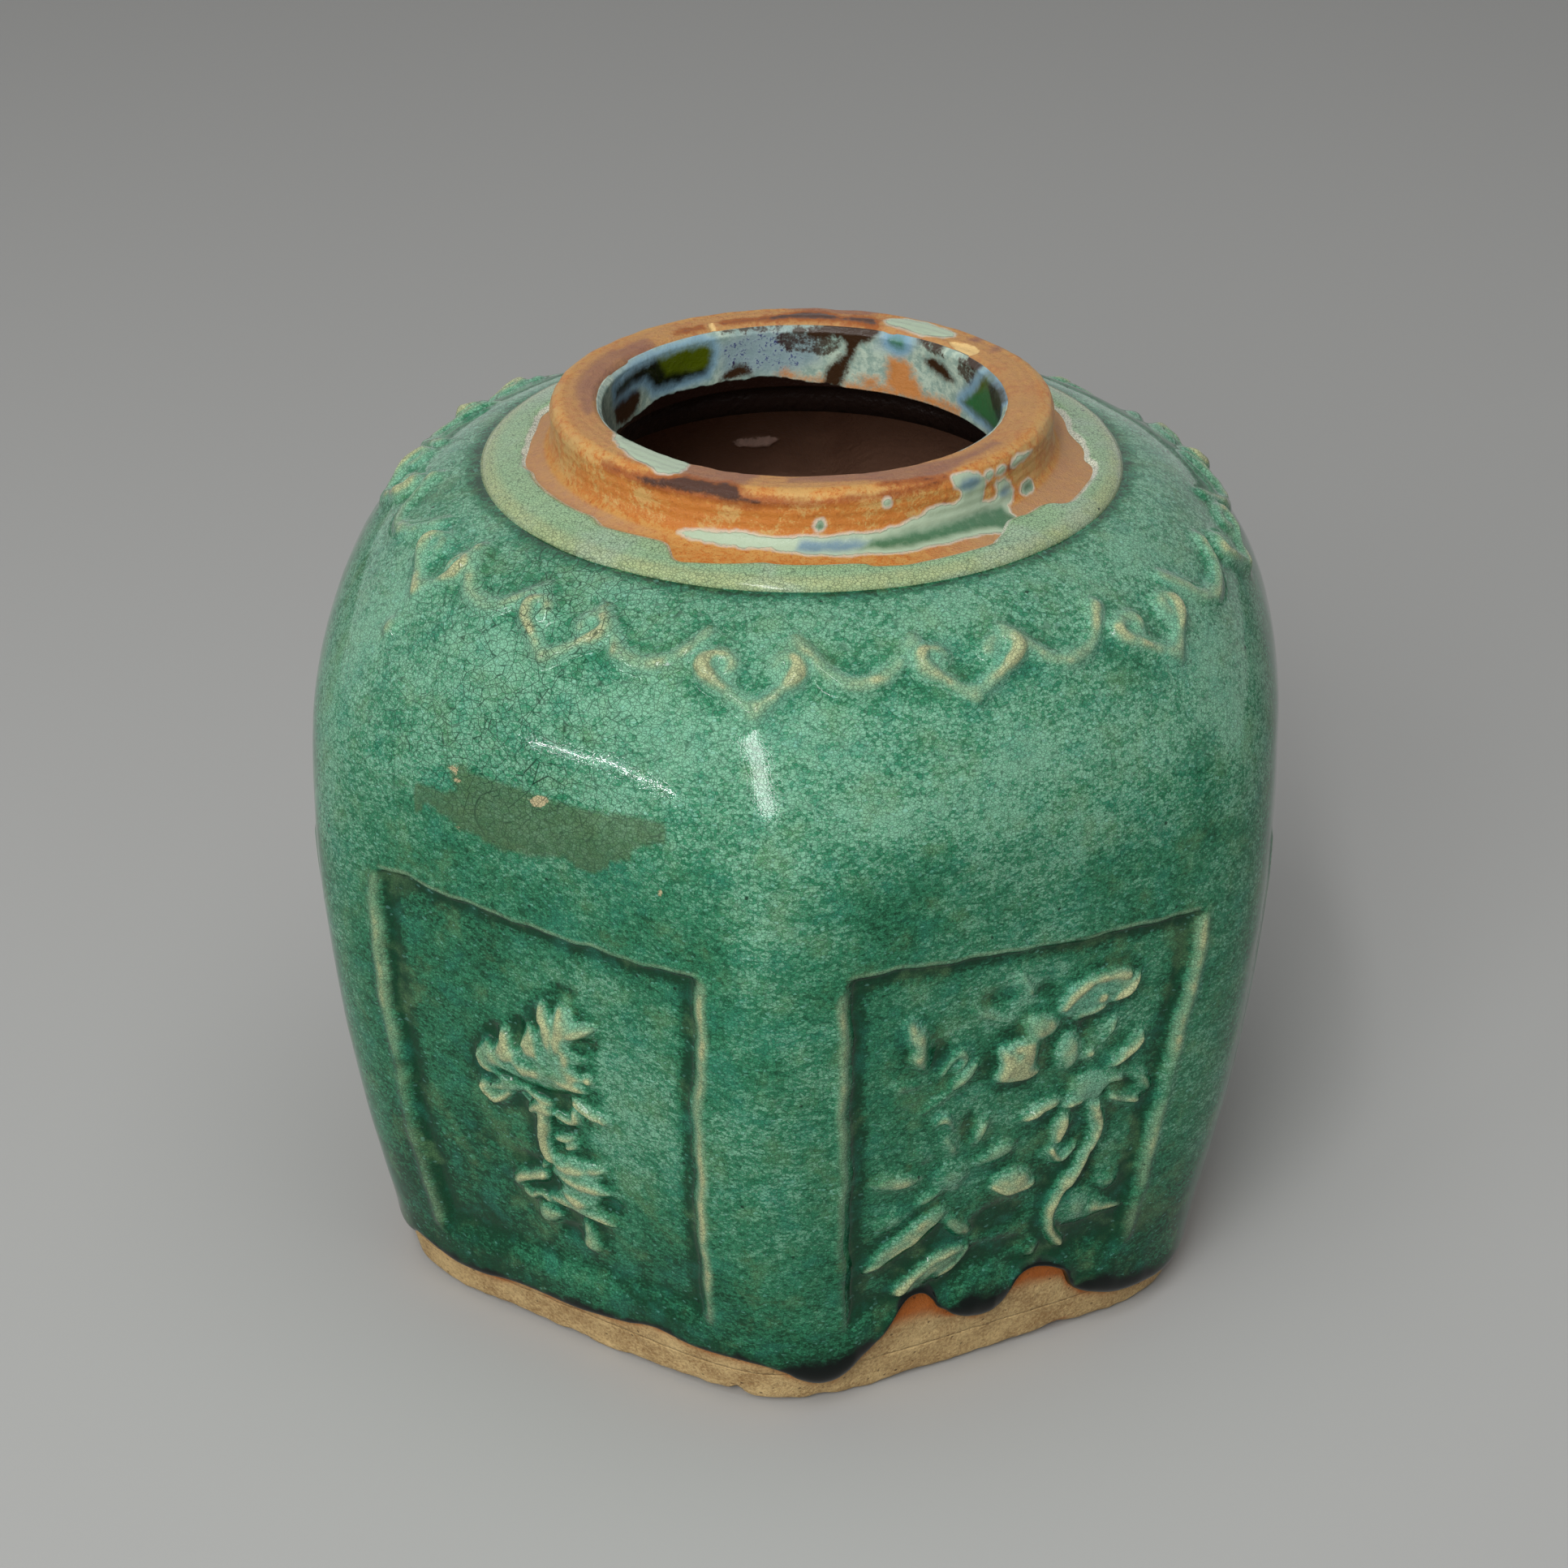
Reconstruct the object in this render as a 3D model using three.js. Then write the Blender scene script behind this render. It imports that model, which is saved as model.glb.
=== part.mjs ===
// A hexagonal glazed stoneware ginger jar, press-moulded in two halves.
// Units are millimetres. +Z is up, the origin is the middle of the foot, and the seam
// corner of the hexagon faces -Y. The jar is made the way a potter luted it together:
// a base slab, two moulded halves that meet at the front and back corners, a thrown
// neck ring with a flange, two clay coils that seal the seams inside, and the glazes.
import * as THREE from "three";
import { mergeVertices } from "three/addons/utils/BufferGeometryUtils.js";

// Driving dimensions of the body
const totalHeight = 170;
const footApothem = 75.7;
const bellyApothem = 89.8;
const bellyHeight = 117;
const neckHeight = 10;
const flangeRadius = 59;
const flangeEdge = 1.4;
const flangeRise = 2.5;
const flangeShoulder = 4.5;
const neckRadius = 47;
const mouthRadius = 38;
const lipRadius = 2.2;
const neckSegments = 48;
const wall = 6.5;
const slabThickness = 8;
const holeRadius = 43;
const jointGap = 0.3;

// How crisp the hexagon is: the power of its p-norm at the foot and at the flange. Powers
// 2 and 4 both make a circle.
const wallCrispness = 13.5;
const topCrispness = 4;
const crispUpTo = 78;
const shoulderPower = 1.85;

// Recessed panels, one on each of the six faces
const panelHalfAngle = 22;
const panelEdgeAngle = 1.3;
const panelBottom = 23;
const panelTop = 99.5;
const panelBevel = 1.6;
const panelDepth = 1.8;

// Glaze coats
const glazeThickness = 0.9;
const glazeLine = 9;
const glazeRoll = 0.9;
const collarGlazeRadius = 53;
const liningThickness = 0.7;

// Clay coils pressed into the two seams from inside, each a low ridge
const coilRise = 3.2;
const coilEdge = 0.6;
const coilHalfAngle = 4;
const coilTopTurn = 0.6;

const flangeSeat = totalHeight - neckHeight - flangeRise - flangeEdge;
const faceCount = 6;
const faceAngle = 360 / faceCount;
const rad = THREE.MathUtils.degToRad;

const bareClay = new THREE.MeshStandardMaterial({ color: 0xc7a677, roughness: 0.9 });
const neckClay = new THREE.MeshStandardMaterial({ color: 0xb9783a, roughness: 0.6 });
const greenGlaze = new THREE.MeshStandardMaterial({ color: 0x2f7a55, roughness: 0.15 });
const brownGlaze = new THREE.MeshStandardMaterial({ color: 0x2a1610, roughness: 0.2 });
const celadonGlaze = new THREE.MeshStandardMaterial({ color: 0x86a79a, roughness: 0.2 });

// The radius of a rounded hexagon of apothem 1 at an angle from its front corner.
// It is a p-norm of the distances along the three face normals: power 4 is a circle,
// and a large power is a sharp hexagon.
function hexagon(angle, power) {
  let sum = 0;
  for (const normal of [30, 90, 150]) {
    sum += Math.abs(Math.cos(rad(angle - normal))) ** power;
  }
  return ((1 + 2 * 0.5 ** power) / sum) ** (1 / power);
}

function crispness(z) {
  const share = THREE.MathUtils.clamp((z - crispUpTo) / (flangeSeat - crispUpTo), 0, 1);
  return topCrispness + ((wallCrispness - topCrispness) * (1 + Math.cos(Math.PI * share))) / 2;
}

// A profile runs up the wall as a parabola to the belly, then over the shoulder as a
// superellipse to the flange's seat. inset moves it inwards, as for the inner wall.
function wallApothem(z, inset) {
  const below = 1 - Math.min(z / bellyHeight, 1);
  return bellyApothem - (bellyApothem - footApothem) * below * below - inset;
}

function shoulderPoint(turn, inset) {
  const across = Math.cos(turn) ** (2 / shoulderPower);
  const up = Math.sin(turn) ** (2 / shoulderPower);
  const top = flangeSeat - inset - bellyHeight;
  const reach = bellyApothem - flangeRadius;
  return { apothem: flangeRadius - inset + reach * across, z: bellyHeight + top * up };
}

// 1 inside a recessed panel, 0 outside it, with a sloped edge between them.
function panelShare(angle, z) {
  const fromCentre = Math.abs(((((angle % faceAngle) + faceAngle) % faceAngle) - faceAngle / 2));
  const across = (panelHalfAngle - fromCentre) / panelEdgeAngle;
  const up = Math.min(z - panelBottom, panelTop - z) / panelBevel;
  return THREE.MathUtils.clamp(Math.min(across, up) + 1, 0, 1);
}

// A point of the jar's clay surface, pushed out by a distance square to the profile.
function bodyPoint(angle, station, push, relief) {
  const p = station(0);
  const q = station(1);
  const length = Math.hypot(q.apothem - p.apothem, q.z - p.z);
  const outR = (q.z - p.z) / length;
  const outZ = (p.apothem - q.apothem) / length;
  const sunk = relief ? panelDepth * panelShare(angle, p.z) : 0;
  const r = p.apothem * hexagon(angle, crispness(p.z)) + (push - sunk) * outR;
  return [r, p.z + (push - sunk) * outZ];
}

const step = 0.01;
const wallStation = (z, inset = 0) => (k) => ({
  apothem: wallApothem(z + k * step, inset),
  z: z + k * step,
});
const shoulderStation = (turn, inset = 0) => (k) => shoulderPoint(turn + k * step, inset);

const panelEdges = [panelBottom - panelBevel, panelBottom, panelTop, panelTop + panelBevel];
const panelLevels = [0.25, 0.5, 0.75].map((share) => panelBottom + share * (panelTop - panelBottom));
const wallLevels = [...panelEdges.slice(0, 2), ...panelLevels, ...panelEdges.slice(2)];
const shoulderTurns = [0.02, 0.35, 0.6, 0.85, 1.1, 1.3, 1.45];

// The inner wall, from under the flange down to the floor
const innerStations = [
  ...[1.45, 1.1, coilTopTurn, 0.02].map((turn) => shoulderStation(turn, wall)),
  ...[0.8, 0.52, 0.26].map((share) => wallStation(share * bellyHeight, wall)),
  wallStation(slabThickness + jointGap, wall),
];
const coilStations = innerStations.slice(2);

// Angles round the jar: a line on each side of every panel's edge, a few across each
// panel, and a few across the coil behind each seam, so that all skins share their facets.
const across = panelHalfAngle + panelEdgeAngle;
const inside = [-15, -7.5, 0, 7.5, 15];
const faceLines = [-across, -panelHalfAngle, ...inside, panelHalfAngle, across, faceAngle / 2];
const coilLines = [-1, -0.5, 0, 0.5, 1].map((share) => share * coilHalfAngle);
const roundLines = new Set([0, 360]);
for (let face = 0; face < faceCount; face += 1) {
  for (const line of faceLines) roundLines.add((face + 0.5) * faceAngle + line);
}
for (const seam of [0, 180, 360]) {
  for (const line of coilLines) roundLines.add(seam + line);
}
const sortedLines = [...roundLines].sort((a, b) => a - b);
const anglesBetween = (from, to) => sortedLines.filter((line) => line >= from && line <= to);

// How far a coil rises from the wall at an angle.
function coilBulge(angle) {
  const away = Math.abs(angle - 180 * Math.round(angle / 180)) / coilHalfAngle;
  if (away > 1.01) return 0;
  return coilEdge + (coilRise - coilEdge) * Math.max(0, 1 - away * away);
}

// Sweeps a closed profile loop of [radius, z] points round the axis. loopAt gives the
// loop at an angle, and every loop has as many points. A full turn closes on itself.
function sweep(angles, loopAt, fullTurn) {
  const used = fullTurn ? angles.slice(0, -1) : angles;
  const loops = used.map((angle) => loopAt(angle));
  const count = loops[0].length;
  const points = [];
  loops.forEach((loop, i) => {
    for (const [r, z] of loop) {
      points.push(r * Math.sin(rad(used[i])), -r * Math.cos(rad(used[i])), z);
    }
  });
  const faces = [];
  const spans = fullTurn ? used.length : used.length - 1;
  for (let i = 0; i < spans; i += 1) {
    const next = (i + 1) % used.length;
    for (let j = 0; j < count; j += 1) {
      const k = (j + 1) % count;
      const [a, b, c, d] = [i * count + j, next * count + j, next * count + k, i * count + k];
      // Every quad is split from its lower left to its upper right, so that two skins
      // that follow each other have the same facets and stay apart.
      if (loops[i][j][1] < loops[i][k][1]) faces.push(a, b, c, a, c, d);
      else faces.push(a, b, d, b, c, d);
    }
  }
  if (!fullTurn) {
    for (const [start, flip] of [[0, false], [used.length - 1, true]]) {
      const flat = loops[start].map(([r, z]) => new THREE.Vector2(r, z));
      for (const [a, b, c] of THREE.ShapeUtils.triangulateShape(flat, [])) {
        const base = start * count;
        faces.push(...(flip ? [base + c, base + b, base + a] : [base + a, base + b, base + c]));
      }
    }
  }
  return solid(points, faces);
}

// Makes an indexed geometry whose faces point outwards.
function solid(points, faces) {
  const geometry = new THREE.BufferGeometry();
  geometry.setAttribute("position", new THREE.Float32BufferAttribute(points, 3));
  geometry.setIndex(faces);
  const merged = mergeVertices(geometry, 1e-4);
  if (signedVolume(merged) < 0) {
    const index = merged.index.array;
    for (let i = 0; i < index.length; i += 3) {
      [index[i + 1], index[i + 2]] = [index[i + 2], index[i + 1]];
    }
  }
  merged.computeVertexNormals();
  return merged;
}

function signedVolume(geometry) {
  const [a, b, c] = [new THREE.Vector3(), new THREE.Vector3(), new THREE.Vector3()];
  const { position } = geometry.attributes;
  const index = geometry.index.array;
  let sum = 0;
  for (let i = 0; i < index.length; i += 3) {
    a.fromBufferAttribute(position, index[i]);
    b.fromBufferAttribute(position, index[i + 1]);
    c.fromBufferAttribute(position, index[i + 2]);
    sum += a.dot(b.cross(c));
  }
  return sum / 6;
}

// The hexagonal floor of the jar, which is its foot: bare clay below the glaze line.
function baseSlab() {
  const levels = [0, 1.2, slabThickness];
  const chamfer = 1.2;
  const angles = anglesBetween(0, 360);
  const points = [0, 0, 0];
  const faces = [];
  const ring = (angle, z) => {
    const cut = z === 0 ? chamfer : 0;
    return (wallApothem(z, 0) - cut) * hexagon(angle, wallCrispness);
  };
  for (const angle of angles.slice(0, -1)) {
    for (const z of levels) {
      const r = ring(angle, z);
      points.push(r * Math.sin(rad(angle)), -r * Math.cos(rad(angle)), z);
    }
  }
  points.push(0, 0, slabThickness);
  const rows = levels.length;
  const turns = angles.length - 1;
  const topCentre = 1 + turns * rows;
  for (let i = 0; i < turns; i += 1) {
    const here = 1 + i * rows;
    const next = 1 + ((i + 1) % turns) * rows;
    faces.push(0, next, here);
    for (let j = 0; j < rows - 1; j += 1) {
      faces.push(here + j, next + j, next + j + 1, here + j, next + j + 1, here + j + 1);
    }
    faces.push(here + rows - 1, next + rows - 1, topCentre);
  }
  return solid(points, faces);
}

// One moulded half: three faces and half the shoulder, from the slab to the flange's seat.
function mouldedHalf(from) {
  const slit = jointGap / 2;
  const foot = slabThickness + jointGap;
  const outer = [wallStation(foot), ...wallLevels.map((z) => wallStation(z))];
  outer.push(...shoulderTurns.map((t) => shoulderStation(t)));
  const loopAt = (angle) => [
    ...outer.map((s) => bodyPoint(angle, s, 0, true)),
    [flangeRadius - 1, flangeSeat],
    [holeRadius, flangeSeat],
    [holeRadius, flangeSeat - wall],
    [flangeRadius - wall, flangeSeat - wall],
    ...innerStations.map((s) => bodyPoint(angle, s, 0, false)),
  ];
  const made = sweep(anglesBetween(from, from + 180), loopAt, false);
  // Each half's two seam faces stand back from the seam's plane by half the joint's gap.
  const aside = from === 0 ? slit : -slit;
  made.translate(aside, 0, 0);
  return made;
}

// The neck is thrown on the wheel: an upright collar with a rounded lip, on a flange that
// lies on the shoulder and covers the hole's edge.
function neckRing() {
  const seat = flangeSeat + jointGap;
  const edgeTop = flangeSeat + flangeEdge;
  const root = totalHeight - neckHeight;
  const outline = [
    new THREE.Vector2(mouthRadius, seat),
    new THREE.Vector2(flangeRadius - 0.6, seat),
    new THREE.Vector2(flangeRadius, seat + 0.5),
    new THREE.Vector2(flangeRadius - 0.5, edgeTop),
    new THREE.Vector2(neckRadius + flangeShoulder, root - 0.9),
    new THREE.Vector2(neckRadius + 1.2, root),
    new THREE.Vector2(neckRadius, root + 1.6),
    new THREE.Vector2(neckRadius, totalHeight - lipRadius),
  ];
  for (const turn of [30, 60, 90]) {
    const out = lipRadius * Math.cos(rad(turn));
    const up = lipRadius * Math.sin(rad(turn));
    outline.push(new THREE.Vector2(neckRadius - lipRadius + out, totalHeight - lipRadius + up));
  }
  const innerLip = lipRadius * 0.6;
  outline.push(new THREE.Vector2(mouthRadius + innerLip, totalHeight));
  outline.push(new THREE.Vector2(mouthRadius + innerLip * 0.3, totalHeight - innerLip * 0.3));
  outline.push(new THREE.Vector2(mouthRadius, totalHeight - innerLip));
  outline.push(new THREE.Vector2(mouthRadius, seat));
  const ring = new THREE.LatheGeometry(outline, neckSegments);
  ring.rotateX(Math.PI / 2);
  return fromGeometry(ring);
}

function fromGeometry(geometry) {
  geometry.deleteAttribute("normal");
  geometry.deleteAttribute("uv");
  const merged = mergeVertices(geometry, 1e-4);
  const faces = [];
  const index = merged.index.array;
  for (let i = 0; i < index.length; i += 3) {
    const [a, b, c] = [index[i], index[i + 1], index[i + 2]];
    if (a !== b && b !== c && a !== c) faces.push(a, b, c);
  }
  return solid([...merged.attributes.position.array], faces);
}

// Where the green glaze stopped running, as a height at each angle: [angle, rise, width].
const glazeRuns = [[17, 8, 5], [26, -2, 4], [35, 8, 4], [45, -1, 5], [5, -3, 5], [-20, 1.5, 9],
  [80, -2, 8], [100, 4, 6], [140, -3, 7], [165, 5, 8], [200, -2, 9], [235, 3, 7], [275, -3, 8]];
function glazeEdge(angle) {
  let z = glazeLine;
  for (const [centre, rise, width] of glazeRuns) {
    const away = angle - centre - 360 * Math.round((angle - centre) / 360);
    z += rise * Math.exp(-((away / width) ** 2));
  }
  return z;
}

// The green coat covers both halves and laps over the flange's edge. Its lower edge runs
// unevenly, with a thick roll where the glaze gathered.
function outerGlaze() {
  const levels = [...wallLevels.map((z) => wallStation(z))];
  levels.push(...shoulderTurns.map((t) => shoulderStation(t)));
  const flangeTop = flangeSeat + flangeEdge;
  const slope = (totalHeight - neckHeight - flangeTop) / (flangeRadius - neckRadius);
  const lapZ = flangeTop + (flangeRadius - collarGlazeRadius) * slope;
  const skin = (angle, push) => {
    const edge = wallStation(glazeEdge(angle));
    const roll = wallStation(glazeEdge(angle) + 2.5);
    const lap = flangeRadius + jointGap;
    return [
      bodyPoint(angle, edge, push, true),
      bodyPoint(angle, roll, push > jointGap ? push + glazeRoll : push, true),
      ...levels.map((s) => bodyPoint(angle, s, push, true)),
      [lap + push, flangeSeat + push],
      [lap + push - jointGap, flangeTop + push + jointGap],
      [collarGlazeRadius, lapZ + push + jointGap],
    ];
  };
  const loopAt = (angle) => [
    ...skin(angle, jointGap + glazeThickness),
    ...skin(angle, jointGap).reverse(),
  ];
  return sweep(anglesBetween(0, 360), loopAt, true);
}

// A coil of clay along the inside of a seam, from the floor to part way up the shoulder.
function seamCoil(seam) {
  const upwards = [...coilStations].reverse();
  const loopAt = (angle) => [
    ...upwards.map((s) => bodyPoint(angle, s, -jointGap, false)),
    ...coilStations.map((s) => bodyPoint(angle, s, -jointGap - coilBulge(angle), false)),
  ];
  return sweep(coilLines.map((line) => seam + line), loopAt, false);
}

// The dark glaze inside the chamber, from the floor to the underside of the shoulder. It
// runs over the two coils.
function innerGlaze() {
  const push = (angle) => {
    const bulge = coilBulge(angle);
    return -jointGap - (bulge > 0 ? bulge + jointGap : 0);
  };
  const loopAt = (angle) => [
    ...innerStations.map((s) => bodyPoint(angle, s, push(angle), false)),
    ...[...innerStations].reverse().map((s) => {
      return bodyPoint(angle, s, push(angle) - liningThickness, false);
    }),
  ];
  return sweep(anglesBetween(0, 360), loopAt, true);
}

// The pale glaze that lines the neck.
function neckGlaze() {
  const outer = mouthRadius - jointGap;
  const bottom = flangeSeat + jointGap;
  const top = totalHeight - lipRadius;
  const outline = [
    new THREE.Vector2(outer - liningThickness, bottom),
    new THREE.Vector2(outer, bottom),
    new THREE.Vector2(outer, top),
    new THREE.Vector2(outer - liningThickness, top),
    new THREE.Vector2(outer - liningThickness, bottom),
  ];
  const ring = new THREE.LatheGeometry(outline, neckSegments);
  ring.rotateX(Math.PI / 2);
  return fromGeometry(ring);
}

function part(name, geometry, material) {
  const mesh = new THREE.Mesh(geometry, material);
  mesh.name = name;
  return mesh;
}

const jar = new THREE.Group();
jar.add(part("base_slab", baseSlab(), bareClay));
jar.add(part("moulded_half_right", mouldedHalf(0), bareClay));
jar.add(part("moulded_half_left", mouldedHalf(180), bareClay));
jar.add(part("seam_coil_front", seamCoil(0), bareClay));
jar.add(part("seam_coil_back", seamCoil(180), bareClay));
jar.add(part("neck_ring", neckRing(), neckClay));
jar.add(part("outer_glaze", outerGlaze(), greenGlaze));
jar.add(part("inner_glaze", innerGlaze(), brownGlaze));
jar.add(part("neck_glaze", neckGlaze(), celadonGlaze));

export default jar;
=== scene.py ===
"""Dresses the hexagonal glazed ginger jar.

Every surface is a grid of points worked out with numpy from two parameters: the angle
round the jar, in degrees from the front seam, and the arc, the distance in millimetres
along the clay's outline from the foot over the shoulder, flange and lip to the inside of
the mouth. Lengths are millimetres until a mesh is made, which scales them to metres.
"""
import logging
import math
from dataclasses import dataclass, field, replace
from enum import Enum
from functools import cached_property
from typing import Any, Sequence

import bpy
import numpy as np
from mathutils import Matrix


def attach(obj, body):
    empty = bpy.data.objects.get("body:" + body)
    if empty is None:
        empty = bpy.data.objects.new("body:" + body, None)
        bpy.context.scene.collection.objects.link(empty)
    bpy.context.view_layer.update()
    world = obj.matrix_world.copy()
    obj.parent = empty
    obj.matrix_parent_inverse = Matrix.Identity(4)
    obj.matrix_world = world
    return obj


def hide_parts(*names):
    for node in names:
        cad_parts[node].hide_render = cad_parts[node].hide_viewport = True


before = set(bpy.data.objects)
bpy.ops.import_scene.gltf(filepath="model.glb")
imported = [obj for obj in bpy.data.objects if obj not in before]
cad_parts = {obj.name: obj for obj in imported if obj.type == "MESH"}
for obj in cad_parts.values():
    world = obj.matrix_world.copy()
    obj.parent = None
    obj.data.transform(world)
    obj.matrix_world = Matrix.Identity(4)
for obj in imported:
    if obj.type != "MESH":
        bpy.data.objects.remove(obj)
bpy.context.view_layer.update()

LOG = logging.getLogger("jar")
METRES = 0.001
BODY = "root"

# How much wider a carved mark is under its glaze
GLAZE_SWELL = 1.3

# How far a patch's depth is followed inside and outside its outline, in millimetres
DEEPEST = 4.0

# Millimetres in a degree on the outside and the inside of the neck, and on the shoulder
COLLAR_DEGREE = 0.84
MOUTH_DEGREE = 0.66
SHOULDER_DEGREE = 1.5
CHAMBER_DEGREE = 1.4

Point = tuple[float, float]
Colour = tuple[float, float, float, float]


class Slot(Enum):
    """The finish that a piece is tagged with."""

    BARE_CLAY = "bare_clay"
    NECK_CLAY = "neck_clay"
    GREEN_GLAZE = "green_glaze"
    BROWN_GLAZE = "brown_glaze"
    CELADON_GLAZE = "celadon_glaze"


class Spray(Enum):
    """Which flower spray a face's panel carries."""

    LEAVES = "leaves"
    BLOSSOM = "blossom"


def smooth(value: np.ndarray, low: float, high: float) -> np.ndarray:
    """Rises from 0 at low to 1 at high along a cubic with level ends.

    Args:
        value: The numbers to look up.
        low: Where the rise starts.
        high: Where it ends.

    Returns:
        The share, from 0 to 1.
    """
    share = np.clip((value - low) / (high - low), 0.0, 1.0)
    return share * share * (3.0 - 2.0 * share)


def fall(value: np.ndarray, low: float, high: float) -> np.ndarray:
    """Falls from 1 at low to 0 at high, as smooth rises."""
    return smooth(-value, -high, -low)


def half_turn(angle: np.ndarray, middle: float) -> np.ndarray:
    """Degrees from a middle angle, between -180 and 180."""
    return (angle - middle + 180) % 360 - 180


def bell(value: np.ndarray, middle: float, width: float) -> np.ndarray:
    """A Gaussian bell of height 1 round a middle, with the given width."""
    return np.exp(-(((value - middle) / width) ** 2))


def flowing(points: Sequence[Point], per_span: int = 5) -> np.ndarray:
    """Runs a Catmull-Rom curve through points.

    Args:
        points: The points that the curve passes.
        per_span: How many steps each span between two points gets.

    Returns:
        The points of the curve, one row each.
    """
    known = np.asarray(points, float)
    ends = np.vstack([2 * known[0] - known[1], known, 2 * known[-1] - known[-2]])
    share = (np.arange(per_span) / per_span)[:, None, None]
    before, here, after, beyond = ends[:-3], ends[1:-2], ends[2:-1], ends[3:]
    curve = 0.5 * (
        2 * here
        + (after - before) * share
        + (2 * before - 5 * here + 4 * after - beyond) * share**2
        + (3 * here - before - 3 * after + beyond) * share**3
    )
    return np.vstack([curve.transpose(1, 0, 2).reshape(-1, known.shape[1]), known[-1:]])


def round_curve(angle: np.ndarray, knots: Sequence[Point]) -> np.ndarray:
    """Reads a closed smooth curve of (angle, value) knots at any angle.

    Args:
        angle: Angles in degrees.
        knots: Knots in rising order of angle, which repeat every full turn.

    Returns:
        The curve's value at each angle.
    """
    start = knots[0][0]
    closed = list(knots) + [(turn + 360.0, value) for turn, value in knots[:2]]
    curve = flowing([(knots[-1][0] - 360.0, knots[-1][1]), *closed], 8)
    return np.interp((angle - start) % 360.0 + start, curve[:, 0], curve[:, 1])


class Noise:
    """Smooth noise from -1 to 1, blended between random numbers on a cubic lattice."""

    def __init__(self, seed: int, size: int = 48) -> None:
        """Fills the lattice.

        Args:
            seed: The seed of the random numbers.
            size: How many numbers the lattice has each way before it repeats.
        """
        self.size = size
        self.table = np.random.default_rng(seed).uniform(-1, 1, (size, size, size))

    def at(self, points: np.ndarray, scale: float) -> np.ndarray:
        """Reads the noise at points whose last axis is x, y, z.

        Args:
            points: Places in millimetres.
            scale: The size of the noise's features in millimetres.

        Returns:
            One number for each point.
        """
        place = points / scale
        corner = np.floor(place).astype(int)
        part = place - corner
        part = part * part * (3 - 2 * part)
        total = np.zeros(points.shape[:-1])
        for step in np.ndindex(2, 2, 2):
            weight = np.prod(np.where(np.array(step) == 1, part, 1 - part), axis=-1)
            index = (corner + step) % self.size
            total += weight * self.table[index[..., 0], index[..., 1], index[..., 2]]
        return total


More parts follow.
